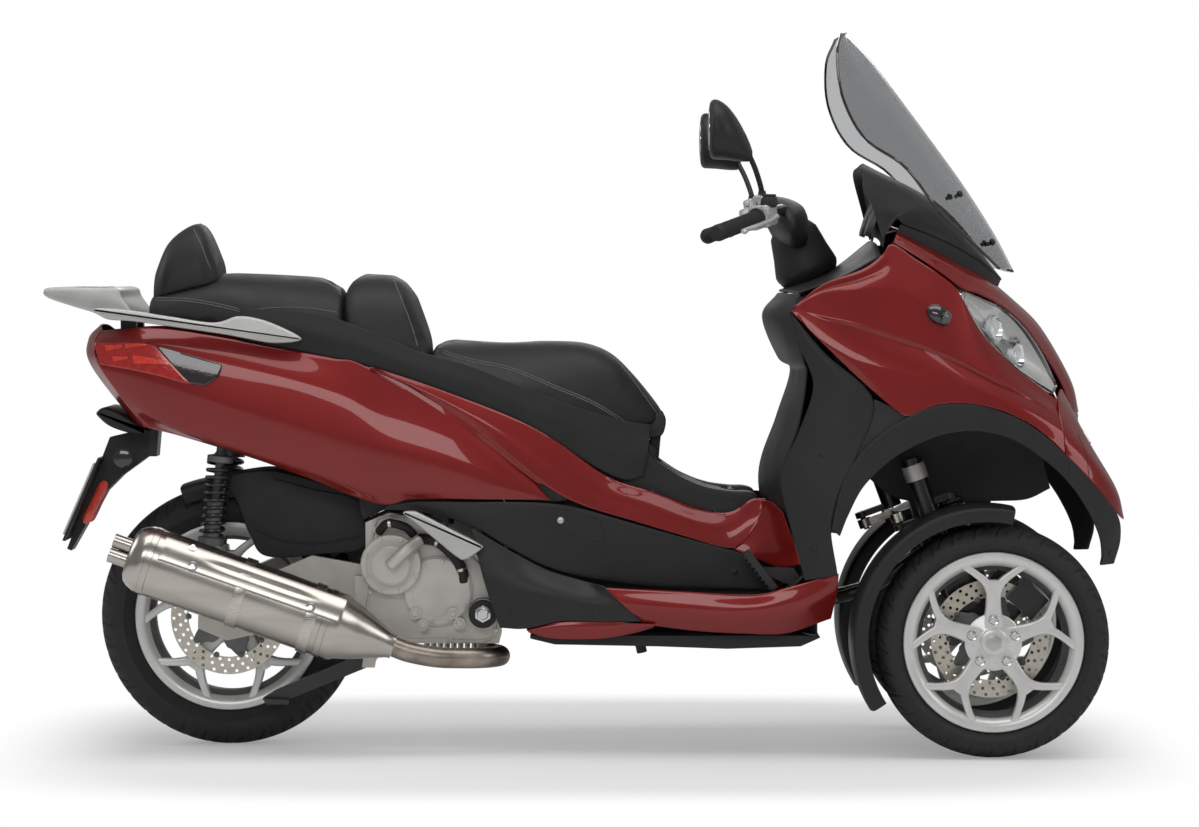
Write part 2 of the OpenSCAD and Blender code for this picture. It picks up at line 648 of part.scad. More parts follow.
module sills() {
  color(RED) both_sides() rail_shell(sill_rails, nu = 10);
}

// Floor under each foot, and the pan under the cradle
module footboards() {
  color(BLACK) {
    both_sides() side_plate([[64, 322], [390, 316], [446, 370], [446, 376], [388, 323], [64, 329]], -250, -188);
    side_plate([[-110, 238], [-60, 226], [150, 222], [290, 217], [440, 222], [480, 240], [440, 244], [-110, 244]],
        -205, 205);
  }
}

// Lenses that lie on the rear corners
module tail_lamps() {
  color("red") both_sides() panel_patch(side_rails, panel_nu, 8, 0, 4, 4, 6, 6);
}

module grab_rail() {
  plate_z = 934;
  color("silver") difference() {
    union() {
      both_sides() side_plate([[-990, 915], [-925, 904], [-740, 874], [-690, 896], [-640, 880], [-572, 846],
          [-628, 838], [-690, 850],
                               [-725, 866], [-905, 890], [-960, 890], [-1000, 896]], -196, -168);
      side_plate([[-1101, 941], [-1090, 928], [-1000, 900], [-970, 885], [-925, 885], [-918, 902], [-945, 934],
          [-950, 951], [-1085, 951]],
                 -169, 169);
    }
    for (x = [-1, 1]) for (y = [-1, 1])
      translate([-1020 + x * rack_hole_dx / 2, y * rack_hole_dy / 2, 880]) cylinder(h = 100, r = rack_hole_r);
  }
}

// Number-plate carrier with its board
module plate_bracket() {
  color(BLACK) {
    side_plate([[-900, 660], [-985, 640], [-1075, 408], [-1066, 404], [-1000, 520], [-960, 560], [-905, 600]], -30, 30);
    side_plate([[-1002, 600], [-1076, 430], [-1071, 428], [-997, 598]], -92, 92);
  }
}

module tunnel_cover() {
  color(BLACK) {
    side_plate([[118, 640], [126, 610], [145, 580], [195, 546], [250, 524], [305, 513], [352, 520], [352, 512],
        [300, 480], [240, 490],
                [140, 525], [60, 560], [40, 600]], -128, 128);
    // pin of the saddle's hinge
    both_sides() side_plate([[141, 658], [159, 658], [150, 560], [125, 570]], -62, -52);
    cross_pin(150, 650, -62, 62, 5);
    // pin of the fuel lid
    both_sides() side_plate([[297, 534], [310, 534], [316, 505], [292, 505]], -56, -46);
    cross_pin(303, 527, -56, 56, 3);
    // stays of the panel beside it
    both_sides() {
      stay(strip_rails, panel_nu, 4, 8, 2, [140, -120, 536]);
      stay(strip_rails, panel_nu, 4, 11, 2, [262, -120, 502]);
    }
  }
}

module fuel_lid() {
  color(BLACK) difference() {
    union() {
      side_plate([[156, 584], [200, 553], [250, 533], [286, 525], [286, 531], [252, 539], [203, 559], [159, 590]],
          -70, 70);
      side_plate([[284, 525], [303, 521], [303, 527], [284, 531]], -38, 38);
      cross_pin(303, 527, -38, 38, 7);
    }
    cross_pin(303, 527, -50, 50, 3.05);
  }
}

// Panel that faces the rider's legs, from the toe board up
function shield_rail(z, middle, flank, edge) =
  [[edge, 248, z], [flank, 140, z], [middle, 0, z], [flank, -140, z], [edge, -248, z]];

shield_rails = [
  shield_rail(392, 395, 405, 450), shield_rail(555, 362, 372, 398), shield_rail(680, 400, 407, 432),
      shield_rail(775, 432, 434, 446),
  shield_rail(805, 402, 412, 440), shield_rail(890, 370, 380, 420), shield_rail(938, 402, 410, 432)
];

module leg_shield() {
  color(BLACK) rail_shell(shield_rails, nu = 8, nt = 12);
}

wing_back = [[413, -255, 903], [433, -260, 835], [462, -264, 755], [433, -258, 660], [398, -252, 584],
    [403, -252, 523], [450, -256, 384]];
wing_mid = [[416, -257, 901], [460, -270, 830], [520, -280, 742], [490, -280, 640], [450, -275, 570],
    [446, -272, 500], [480, -266, 380]];
wing_front = [[417, -257, 899], [484, -271, 819], [578, -283, 727], [544, -288, 612], [512, -289, 548],
    [494, -285, 470], [508, -266, 377]];

wing_rails = [wing_back, wing_mid, wing_front];

fairing_low = [[418, -258, 904], [495, -276, 824], [560, -285, 762], [620, -291, 711], [652, -293, 695],
    [704, -294, 717], [770, -294, 721],
               [834, -292, 707], [870, -290, 692], [902, -287, 675], [940, -282, 645], [966, -277, 620]];
fairing_scoop = [[426, -258, 906], [462, -272, 858], [530, -284, 814], [575, -288, 798], [622, -290, 787],
    [690, -291, 771],
                 [760, -290, 753], [815, -288, 737], [850, -286, 723], [890, -282, 705], [930, -276, 683],
                 [963, -269, 661]];
fairing_crease = [[428, -257, 909], [475, -264, 894], [530, -268, 881], [580, -270, 867], [630, -271, 851],
    [690, -271, 831],
                  [745, -269, 809], [790, -266, 787], [830, -262, 766], [872, -255, 743], [920, -246, 716],
                  [960, -238, 691]];
fairing_upper = [[427, -255, 912], [480, -250, 936], [545, -244, 946], [590, -239, 951], [630, -234, 950],
    [680, -237, 926],
                 [730, -239, 894], [770, -239, 861], [810, -236, 823], [860, -228, 779], [925, -214, 733],
                 [962, -212, 705]];
fairing_top = [[424, -253, 914], [482, -238, 957], [561, -216, 987], [601, -202, 1014], [625, -190, 1038],
    [672, -197, 1008],
               [720, -204, 976], [757, -208, 943], [800, -214, 866], [860, -207, 800], [940, -192, 738],
               [965, -196, 716]];

fairing_rails = [fairing_low, fairing_scoop, fairing_crease, fairing_upper, fairing_top];

module fairings() {
  color(RED) both_sides() rail_shell(fairing_rails, nu = 20, nt = 8);
}

nose_edge = [[630, -186, 1044], [682, -193, 1012], [727, -199, 981], [767, -200, 952], [802, -193, 940],
    [852, -172, 914], [902, -146, 872],
             [947, -116, 812], [985, -92, 750], [1002, -86, 700]];
nose_flank = [[640, -150, 1066], [690, -145, 1040], [740, -138, 1012], [788, -130, 984], [830, -118, 960],
    [880, -100, 920], [930, -82, 872],
              [968, -66, 818], [1006, -52, 750], [1020, -48, 696]];
nose_middle = [[660, 0, 1072], [705, 0, 1048], [750, 0, 1022], [800, 0, 992], [845, 0, 962], [890, 0, 925],
    [938, 0, 880], [978, 0, 820],
               [1014, 0, 750], [1027, 0, 692]];

nose_rails = [nose_edge, nose_flank, nose_middle, mirrored(nose_flank), mirrored(nose_edge)];

lamp_low = [[773, -209, 918], [814, -214, 860], [862, -205, 804], [910, -196, 766], [952, -187, 738]];
lamp_mid = [[771, -208, 932], [826, -202, 886], [878, -183, 838], [926, -160, 790], [962, -142, 742]];
lamp_high = [[772, -202, 944], [850, -178, 910], [900, -152, 868], [943, -122, 808], [972, -102, 750]];
lamp_rails = [lamp_low, lamp_mid, lamp_high];

module headlamps() {
  color("lightgrey") both_sides() rail_shell(lamp_rails, nu = 10, nt = 6);
}

beak_low = [[970, -277, 613], [1032, -262, 552], [1080, -228, 497], [1099, -180, 482], [1088, -120, 500],
    [1064, -60, 540], [1052, 0, 555]];
beak_mid = [[967, -270, 650], [1025, -248, 602], [1070, -215, 552], [1082, -175, 545], [1070, -120, 565],
    [1050, -60, 592], [1042, 0, 602]];
beak_top = [[963, -240, 690], [1000, -215, 658], [1022, -190, 642], [1028, -155, 640], [1026, -110, 645],
    [1024, -60, 655], [1022, 0, 660]];

beak_rim = [[968, -206, 712], [974, -182, 722], [980, -152, 730], [988, -120, 734], [1004, -90, 696],
    [1020, -50, 688], [1026, 0, 684]];

beak_rails = across_both([beak_low, beak_mid, beak_top, beak_rim]);

// Panel between the headlamps, and the beak below it that runs round both arches
module nose() {
  color(RED) {
    rail_shell(nose_rails, nt = 10);
    rail_shell(beak_rails, nu = 24, nt = 6);
  }
}

arch_out = [[500, -286, 468], [516, -290, 546], [552, -292, 612], [602, -294, 660], [652, -296, 690],
    [704, -297, 711], [770, -297, 715],
            [834, -295, 701], [902, -290, 668], [966, -280, 614], [1030, -264, 548], [1078, -230, 490],
            [1088, -205, 440], [1076, -200, 392]];
arch_in = [[514, -280, 455], [531, -284, 498], [560, -288, 553], [605, -290, 599], [652, -291, 631],
    [718, -292, 658], [788, -292, 666],
           [860, -288, 648], [926, -280, 605], [972, -270, 564], [1016, -255, 505], [1044, -236, 450],
           [1052, -222, 410], [1050, -215, 390]];

arch_rails = [arch_in, arch_out];
arch_t = 6;

// Roof of the arch, from its edge in to the frame
liner_edge = [[548, -276, 552], [600, -280, 604], [652, -283, 637], [718, -284, 664], [788, -284, 672],
    [860, -280, 654], [922, -270, 614],
              [964, -258, 576]];
liner_mid = [[560, -180, 600], [606, -180, 645], [655, -180, 676], [718, -180, 702], [788, -180, 708],
    [856, -180, 690], [914, -180, 652],
             [952, -178, 616]];
liner_in = [[566, -74, 640], [610, -74, 674], [657, -74, 702], [718, -74, 722], [788, -74, 727], [852, -74, 710],
    [906, -76, 676],
            [940, -80, 640]];
liner_rails = [liner_in, liner_mid, liner_edge];
liner_t = 3;

// Edges of the front wheel arches with their roofs, and the wings that join them to the leg shield
module wheel_arches() {
  color(BLACK) both_sides() {
    rail_shell(arch_rails, nu = 22, nt = 2, thick = arch_t);
    rail_shell(wing_rails, nt = 4);
    rail_shell(liner_rails, nt = 6, thick = liner_t);
  }
}

cowl_front = [[648, -166, 1080], [742, -148, 1044], [812, -112, 1006], [850, -60, 980], [866, 0, 968]];
cowl_mid = [[630, -178, 1092], [680, -150, 1110], [715, -110, 1115], [735, -60, 1116], [742, 0, 1116]];
cowl_back = [[606, -186, 1052], [590, -172, 1110], [568, -125, 1185], [575, -65, 1203], [578, 0, 1207]];

cowl_rails = across_both([cowl_front, cowl_mid, cowl_back]);

// The screen's level: its side edge and middle, bowed in between
function screen_level(edge, middle) =
  [edge, [middle[0] - 0.36 * (middle[0] - edge[0]), 0.6 * edge[1], middle[2] - 0.36 * (middle[2] - edge[2])], middle];

screen_rails = across_both([
  screen_level([856, -70, 990], [892, 0, 984]), screen_level([785, -140, 1052], [848, 0, 1066]),
  screen_level([718, -195, 1110], [786, 0, 1162]), screen_level([648, -225, 1196], [722, 0, 1250]),
  screen_level([566, -245, 1252], [658, 0, 1336]), screen_level([522, -235, 1335], [596, 0, 1418]),
  screen_level([514, -185, 1424], [558, 0, 1460]), screen_level([528, -90, 1470], [542, 0, 1477])
]);

module windscreen() {
  color([0.6, 0.65, 0.7, 0.5]) rail_shell(screen_rails, nu = 16, nt = 16);
}

dash_back = [[432, -235, 942], [414, -130, 944], [406, 0, 946]];
dash_mid = [[520, -222, 974], [510, -120, 980], [505, 0, 982]];
dash_front = [[600, -196, 1016], [596, -110, 1040], [590, 0, 1046]];
dash_rails = across_both([dash_front, dash_mid, dash_back]);

// Cowl behind the screen with the screen's stays, and the dash with a hole for the steering column
module cowl() {
  color(BLACK) {
    rail_shell(cowl_rails, nu = 16, nt = 6);
    both_sides() {
      stay(screen_rails, 16, 16, 4, 4, within(cowl_rails, 16, 6, 3, 3));
      stay(screen_rails, 16, 16, 4, 2, within(cowl_rails, 16, 6, 4, 1));
      rod(within(cowl_rails, 16, 6, 3, 5), within(dash_rails, 10, 6, 2, 1), 6);
    }
    difference() {
      rail_shell(dash_rails, nu = 10, nt = 6);
      on_axis(stem_foot_x, 0) translate([0, 0, 900]) cylinder(h = 260, r = 66);
    }
  }
}

// A point within the thickness of a panel
function within(rails, nu, nt, i, j) =
  let (g = rail_grid(rails, nu, nt))
  g[i][j] - 0.5 * panel_t * grid_normal(g, i, j);

// Height of the sloping end of the footboard
function toe_z(x) = 323 + (x - 388) * 53 / 58;

module brake_pedal() {
  color(DARK) {
    side_plate([[322, 412], [334, 420], [392, 346], [380, 338]], -240, -195);
    side_plate([[352, 376], [364, 384], [424, 384], [436, toe_z(436)], [416, toe_z(416)]], -222, -210);
  }
}

module footpegs() {
  color("silver") both_sides() {
    side_plate([[-362, 488], [-335, 494], [-240, 446], [-250, 414], [-300, 452]], -232, -207);
    cross_pin(-290, 462, -208, -160, 9);
  }
}

// Turn lamps: one in each fairing, one on each side of the plate carrier
module indicators() {
  color("orange") both_sides() {
    panel_patch(fairing_rails, 20, 8, 10, 11, 5, 6, 6);
    cross_pin(-950, 600, -30, -60, 9);
    translate([-950, -60, 600]) rotate([90, 0, 0]) cylinder(h = 36, r1 = 14, r2 = 20);
  }
}

module luggage_bin() {
  outer = [[-600, 798], [-600, 640], [-420, 590], [-150, 545], [-95, 560], [-80, 638]];
  inner = [[-595, 900], [-596, 644], [-418, 594], [-150, 549], [-99, 563], [-70, 800]];
  color(DARK) difference() {
    side_plate(outer, -128, 128);
    side_plate(inner, -124, 124);
  }
}

// Handlebar and what turns with it

module handlebar() {
  low = 548 + (knuckle_foot_x - stem_foot_x) * sin(rake);
  color(DARK) {
    on_axis(stem_foot_x, 0) {
      translate([0, 0, low - 44]) cylinder(h = 1150 - low + 44, r = tube_r);
      translate([-crank, -12, low - 44]) cube([crank, 24, 12]);
      translate([-crank, 0, low - 44]) cylinder(h = 12, r = 14);
      translate([-crank, 0, low - 70]) cylinder(h = 30, r = 6);
    }
    bar_tubes();
    both_sides() {
      rod(grip_in - 26 * grip_way, grip_in - 4 * grip_way, 21);
      translate([346, -260, 1098]) cube([24, 24, 26]);
    }
  }
}

grip_in = [348, -262, 1090.5];
grip_out = [266, -372, 1060];
grip_way = (grip_out - grip_in) / norm(grip_out - grip_in);

module bar_tubes() {
  both_sides() tube([[428, 0, 1080], [422, -60, 1100], [402, -150, 1110],
      grip_in - 34 * grip_way, grip_in - 17 * grip_way, grip_in], 11, [0, 0, 1]);
}

module grips() {
  color(BLACK) both_sides() rod(grip_in, grip_out, 17);
}

// Shroud over the middle of the bar and the top of the column
module bar_cover() {
  color(BLACK) difference() {
    union() {
      ring_loft([
        oval(378, 0, 1105, 40, 26), oval(395, 0, 1090, 150, 44), oval(425, 0, 1080, 175, 52), oval(450, 0, 1075, 120, 46),
        oval(462, 0, 1070, 60, 30)
      ]);
      on_axis(stem_foot_x, 0) translate([0, 0, 1022]) cylinder(h = 100, r1 = 46, r2 = 54);
    }
    bar_tubes();
    on_axis(stem_foot_x, 0) translate([0, 0, 900]) cylinder(h = 250, r = tube_r);
  }
}

module mirrors() {
  color(BLACK) both_sides() {
    translate([358, -248, 1124]) cylinder(h = 18, r = 6);
    rod([358, -248, 1139], [326, -308, 1222], 6);
    ring_loft([
      oval(252, -328, 1264, 30, 36), oval(262, -330, 1264, 56, 56), oval(285, -328, 1260, 58, 54),
      oval(312, -318, 1235, 38, 34),
      oval(332, -308, 1214, 14, 14)
    ]);
  }
}

// Saddle

module rider_seat() {
  color(BLACK) ring_loft([
    crowned(-316, 762, 838, 165), crowned(-240, 728, 832, 166), crowned(-155, 692, 828, 160), crowned(-60, 642, 834, 152),
    crowned(0, 636, 834, 142), crowned(55, 644, 814, 126), crowned(100, 656, 772, 110), crowned(145, 672, 718, 88),
    crowned(164, 682, 692, 66)
  ]);
}

module passenger_seat() {
  color(BLACK) ring_loft([
    crowned(-898, 900, 918, 100), crowned(-880, 890, 944, 132), crowned(-760, 880, 976, 150),
    crowned(-676, 858, 974, 156),
    crowned(-577, 828, 966, 160), crowned(-494, 806, 958, 164)
  ]);
}

module lumbar_pad() {
  color(BLACK) ring_loft([
    crowned(-490, 804, 958, 160), crowned(-470, 800, 974, 160), crowned(-390, 782, 972, 162),
    crowned(-360, 774, 950, 162),
    crowned(-320, 764, 850, 160)
  ]);
}

// The backrest follows the top of the seat that it rests on
module backrest() {
  color(BLACK) difference() {
    ring_loft([
      crowned(-888, 915, 985, 90), crowned(-860, 925, 1046, 112), crowned(-808, 938, 1082, 116),
      crowned(-780, 942, 1070, 114), crowned(-752, 950, 1005, 100)
    ]);
    translate([0, 0, seat_gap]) passenger_seat();
  }
}

module saddle_base() {
  color(DARK) difference() {
    union() {
      side_plate([[-880, 890], [-760, 880], [-676, 858], [-577, 828], [-490, 804], [-390, 782], [-316, 762],
          [-240, 728], [-155, 692],
                  [-60, 642], [0, 636], [55, 644], [100, 656], [112, 660], [112, 651], [100, 648], [55, 636],
                  [0, 629], [-60, 635],
                  [-155, 685], [-240, 721], [-316, 755], [-390, 775], [-490, 797], [-577, 821], [-676, 851],
                  [-760, 873], [-878, 883]],
                 -110, 110);
      cross_pin(150, 650, -46, 46, 11);
      side_plate([[108, 650], [150, 644], [156, 656], [144, 668], [108, 658]], -46, 46);
    }
    cross_pin(150, 650, -60, 60, 5 + running);
  }
}

stand_pivot = [-443, 188];

module centre_stand() {
  color(BLACK) difference() {
    union() {
      both_sides() {
        side_plate([[-436, 202], [-456, 200], [-634, 124], [-660, 108], [-652, 96], [-622, 98], [-438, 174]], -122, -104);
        side_plate([[-660, 108], [-652, 96], [-606, 96], [-606, 106]], -142, -122);
      }
      cross_pin(stand_pivot[0], stand_pivot[1], -124, 124, 15);
    }
    cross_pin(stand_pivot[0], stand_pivot[1], -130, 130, 8 + running);
  }
}

frame_front();
frame_lower();
frame_rear();
suspension_arms();
engine();
swing_arm();
exhaust();
rear_mudguard();
rear_shocks();
luggage_bin();
side_panels();
side_covers();
sills();
footboards();
tail_lamps();
grab_rail();
plate_bracket();
tunnel_cover();
leg_shield();
fairings();
nose();
headlamps();
wheel_arches();
cowl();
windscreen();
brake_pedal();
footpegs();
indicators();
handlebar();
grips();
bar_cover();
mirrors();
mirror([0, 1, 0]) knuckle();  // knuckle_left
mirror([0, 1, 0]) front_mudguard();  // mudguard_left
knuckle();  // knuckle_right
front_mudguard();  // mudguard_right
tie_rod();
front_place(1) front_wheel();  // front_wheel_left
front_place(1) front_tyre();  // front_tyre_left
front_place(-1) front_wheel();  // front_wheel_right
front_place(-1) front_tyre();  // front_tyre_right
rear_place() cast_wheel(rear_flange_r, 178, 47, axle_r + running, 70,  // rear_wheel
    70, 120, -60);
rear_place() tyre(rear_tyre_r, rear_tyre_w, rear_flange_r, 178, 47);  // rear_tyre
saddle_base();
rider_seat();
passenger_seat();
lumbar_pad();
backrest();
fuel_lid();
centre_stand();
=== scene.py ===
"""Looks of a three-wheel motor scooter, dressed over its solids. Lengths are written in millimetres, as in the
solids, and turned into metres when a mesh is made. +X is forward, +Y the rider's left, +Z up."""
import math

import bmesh
import bpy
import numpy as np
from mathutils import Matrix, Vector


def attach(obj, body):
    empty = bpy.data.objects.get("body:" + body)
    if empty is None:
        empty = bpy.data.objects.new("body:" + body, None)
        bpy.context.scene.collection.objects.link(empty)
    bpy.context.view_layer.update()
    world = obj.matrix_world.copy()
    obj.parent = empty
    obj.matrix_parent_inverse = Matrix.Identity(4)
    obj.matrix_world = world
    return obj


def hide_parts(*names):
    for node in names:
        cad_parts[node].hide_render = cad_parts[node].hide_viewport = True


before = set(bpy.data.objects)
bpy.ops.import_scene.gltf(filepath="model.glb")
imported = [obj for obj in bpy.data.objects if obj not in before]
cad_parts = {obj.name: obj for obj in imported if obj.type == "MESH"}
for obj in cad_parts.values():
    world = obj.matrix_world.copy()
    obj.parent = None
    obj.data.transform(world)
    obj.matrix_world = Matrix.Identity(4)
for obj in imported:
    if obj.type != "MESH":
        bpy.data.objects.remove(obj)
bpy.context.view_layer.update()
scene = bpy.context.scene
MM = 0.001
RAKE = math.radians(20)
SKIN = 4  # thickness of the moulded panels
SIDE_CREASE, FAIRING_CREASE = 0.35, 0.6  # how straight these panels run between their rails
BOLT_SIDE = (0.3, 0.8, 0.5)  # a way that no bolt or stud faces, from which their heads are turned
FRONT_AXLE, REAR_AXLE = np.array([825, 232.5, 237]), np.array([-736, 0, 270])
FRONT_RIM, REAR_RIM = (182, 165, 38), (195, 178, 47)  # flange radius, bead radius, half width
HANDS = ((-1, "right"), (1, "left"))  # sign of y, and the word for it in names


# Curves and grids

def cubic(a, b, c, d, f):
    """A cubic from b (f = 0) to c (f = 1), whose slopes there are half the steps from a to c and from b to d."""
    return b + 0.5 * f * (c - a + f * (2 * a - 5 * b + 4 * c - d + f * (3 * (b - c) + d - a)))


def curve(points, s):
    """A smooth curve through the points: cubic pieces whose slope at each point is half the step between its
    neighbours. s runs from 0 to 1 over the whole curve; a point may be a row of points."""
    p = np.asarray(points, float)
    n = len(p) - 1
    s = np.clip(np.asarray(s, float), 0, 1) * n
    k = np.minimum(s.astype(int), n - 1)
    f = (s - k).reshape(-1, *([1] * (p.ndim - 1)))
    ext = np.concatenate([[2 * p[0] - p[1]], p, [2 * p[-1] - p[-2]]])
    return cubic(ext[k], ext[k + 1], ext[k + 2], ext[k + 3], f)


def closed_curve(points, n):
    """A smooth closed curve through the points, at n places."""
    p = np.asarray(points, float)
    m = len(p)
    ext = np.concatenate([p[-3:], p, p[:3]])
    return curve(ext, (3 + np.arange(n) * m / n) / (m + 5))


def patch(rails, nu, nt, crease=0.0):
    """The surface through the rails: each is read at nu + 1 places along it, then a curve across the rails at
    nt + 1; crease mixes in straight lines between the rails, which leaves an edge along each."""
    along = np.stack([curve(r, np.linspace(0, 1, nu + 1)) for r in rails])
    t = np.linspace(0, 1, nt + 1)
    k = np.minimum((t * (len(rails) - 1)).astype(int), len(rails) - 2)
    f = (t * (len(rails) - 1) - k)[:, None, None]
    straight = along[k] * (1 - f) + along[k + 1] * f
    return ((1 - crease) * curve(along, t) + crease * straight).transpose(1, 0, 2)


def on_patch(rails, u, t, crease=0.0):
    """Points of the rails' surface at any places u along and t across it, both arrays of one shape."""
    rows = np.stack([curve(r, u.ravel()) for r in rails])
    ext = np.concatenate([[2 * rows[0] - rows[1]], rows, [2 * rows[-1] - rows[-2]]])
    s = np.clip(t.ravel(), 0, 1) * (len(rails) - 1)
    k = np.minimum(s.astype(int), len(rails) - 2)
    f = (s - k)[:, None]
    i = np.arange(k.size)
    a, b, c, d = (ext[k + j, i] for j in range(4))
    return ((1 - crease) * cubic(a, b, c, d, f) + crease * (b * (1 - f) + c * f)).reshape(*u.shape, 3)


def unit(v):
    """The vectors scaled to length one."""
    return v / np.maximum(np.linalg.norm(v, axis=-1, keepdims=True), 1e-9)


def grid_normals(g):
    """Unit normals of a grid, from the cross product of its steps along and across."""
    return unit(np.cross(np.gradient(g, axis=0), np.gradient(g, axis=1)))


def grid_faces(nu, nv, wrap_u=False, wrap_v=False):
    """Quads between neighbouring points of an nu by nv grid, closed round either way if asked."""
    i, j = np.meshgrid(np.arange(nu if wrap_u else nu - 1), np.arange(nv if wrap_v else nv - 1), indexing="ij")
    i2, j2 = (i + 1) % nu, (j + 1) % nv
    return np.stack([i * nv + j, i2 * nv + j, i2 * nv + j2, i * nv + j2], -1).reshape(-1, 4)


def end_caps(rows, n):
    """The two end faces of a run of closed rings: the first ring as it is, the last one turned over."""
    return [list(range(n)), list(range(rows * n - 1, (rows - 1) * n - 1, -1))]


def both(half):
    """The rails of the right half and of its mirror image, running from the right edge to the left."""
    return [np.concatenate([r, np.asarray(r)[-2::-1] * [1, -1, 1]]) for r in half]


def make(name, parts, material, body="chassis", replaced=(), smooth=35.0):
    """One object from several parts (points in mm, quads, caps), welded, its normals outwards, riding on a body."""
    verts, faces, base = [], [], 0
    for points, quads, *caps in parts:
        points = np.asarray(points, float).reshape(-1, 3)
        verts.append(points)
        faces += (np.asarray(quads) + base).tolist()
        faces += [(np.asarray(c) + base).tolist() for c in (caps[0] if caps else [])]
        base += len(points)
    mesh = bpy.data.meshes.new(name)
    mesh.from_pydata((np.concatenate(verts) * MM).tolist(), [], faces)
    bm = bmesh.new()
    bm.from_mesh(mesh)
    bmesh.ops.remove_doubles(bm, verts=bm.verts, dist=2e-6)
    bmesh.ops.recalc_face_normals(bm, faces=bm.faces)
    bm.to_mesh(mesh)
    bm.free()
    mesh.polygons.foreach_set("use_smooth", [True] * len(mesh.polygons))
    if smooth:
        mesh.set_sharp_from_angle(angle=math.radians(smooth))
    piece = bpy.data.objects.new(name, mesh)
    scene.collection.objects.link(piece)
    mesh.materials.append(M[material])
    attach(piece, body)
    if replaced:
        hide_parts(*([replaced] if isinstance(replaced, str) else replaced))
    return piece


def mirror(parts):
    """The parts and their mirror images across the middle plane, with the copied faces turned over."""
    flipped = [(np.asarray(p, float).reshape(-1, 3) * [1, -1, 1], np.asarray(q)[:, ::-1],
                *[[c[::-1] for c in k] for k in caps])
               for p, q, *caps in parts]
    return list(parts) + flipped


def moved(parts, turn=None, shift=(0, 0, 0)):
    """The parts turned by a 3 by 3 matrix and shifted."""
    turn = np.eye(3) if turn is None else np.asarray(turn, float)
    return [(np.asarray(p, float).reshape(-1, 3) @ turn.T + np.asarray(shift, float), *rest) for p, *rest in parts]


def about_y(degrees):
    """The turn about +Y that lifts +X towards +Z by the angle."""
    c, s = math.cos(math.radians(degrees)), math.sin(math.radians(degrees))
    return np.array([[c, 0, -s], [0, 1, 0], [s, 0, c]])


def towards(way, side=(0, 1, 0)):
    """The turn that takes +Z to the given way, keeping +Y near the given side."""
    z = unit(np.asarray(way, float))
    x = unit(np.cross(np.asarray(side, float), z))
    return np.stack([x, np.cross(z, x), z], 1)


def shell(g, thick, rise=0.0, roll=3):
    """A sheet of even thickness under a grid, all its edges rolled in half circles: each row is a closed loop round
    the sheet (top, rolled edge, underside, rolled edge), and the end rows close onto the middle of the sheet."""
    n = grid_normals(g)
    half = thick / 2
    top, low = g + n * rise, g + n * (rise - thick)
    mid = (top + low) / 2
    out0, out1 = unit(g[:, 0] - g[:, 1]), unit(g[:, -1] - g[:, -2])
    a = np.radians(np.linspace(0, 180, roll + 2)[1:-1])[None, :, None]
    roll1 = mid[:, -1:] + half * (np.cos(a) * n[:, -1:] + np.sin(a) * out1[:, None])
    roll0 = mid[:, :1] + half * (-np.cos(a) * n[:, :1] + np.sin(a) * out0[:, None])
    loop = np.concatenate([top, roll1, low[:, ::-1], roll0], 1)
    core = np.concatenate([mid, np.repeat(mid[:, -1:], roll, 1), mid[:, ::-1], np.repeat(mid[:, :1], roll, 1)], 1)

    def closing(i, k):
        away = unit(core[i] - core[k])
        return [core[i] + np.cos(b) * (loop[i] - core[i]) + half * np.sin(b) * away for b in np.radians([90, 60, 30])]

    rows = np.concatenate([closing(0, 1), loop, closing(-1, -2)[::-1]])
    return rows, grid_faces(len(rows), loop.shape[1], wrap_v=True)


def revolved(profile, steps=96, arc=None):
    """A closed profile of (radius, distance along +Y) turned about the Y axis, all round or over an arc of
    (start, end) in degrees."""
    p = np.asarray(profile, float)
    turn = np.linspace(0, 2 * np.pi, steps, endpoint=False) if arc is None else np.radians(np.linspace(*arc, steps))
    c, s = np.cos(turn)[:, None], np.sin(turn)[:, None]
    pts = np.stack([p[None, :, 0] * c, p[None, :, 1] + 0 * c, p[None, :, 0] * s], -1)
    ends = [] if arc is None else end_caps(steps, len(p))
    return pts, grid_faces(steps, len(p), wrap_u=arc is None, wrap_v=True), ends


def spun(profile, steps=48):
    """An open profile of (radius, height) turned about the Z axis; an end whose radius is 0 closes on the axis."""
    p = np.asarray(profile, float)
    turn = np.linspace(0, 2 * np.pi, steps, endpoint=False)
    c, s = np.cos(turn)[:, None], np.sin(turn)[:, None]
    pts = np.stack([p[None, :, 0] * c, p[None, :, 0] * s, p[None, :, 1] + 0 * c], -1)
    return pts, grid_faces(steps, len(p), wrap_u=True)


def stood_up(part):
    """A part with its Y and Z exchanged and its faces turned over, so that what was turned about one axis is about
    the other."""
    points, quads, *ends = part
    return points[..., [0, 2, 1]], quads[:, ::-1], *ends


def swept(path, section, side=(0, 0, 1), scale=None):
    """A closed section of (across, up) points carried along a path, square to it; scale grows it at each place, and
    the ends close onto their middles."""
    path = np.asarray(path, float)
    t = unit(np.gradient(path, axis=0))
    a = unit(np.cross(t, np.asarray(side, float)))
    b = np.cross(t, a)
    sec = np.asarray(section, float)
    grow = np.ones((len(path), 1)) if scale is None else np.asarray(scale, float).reshape(len(path), -1)
    sideways = grow[:, :1, None] * sec[None, :, :1] * a[:, None]
    upwards = grow[:, -1:, None] * sec[None, :, 1:] * b[:, None]
    pts = path[:, None] + sideways + upwards
    return pts, grid_faces(len(path), len(sec), wrap_v=True), end_caps(len(path), len(sec))


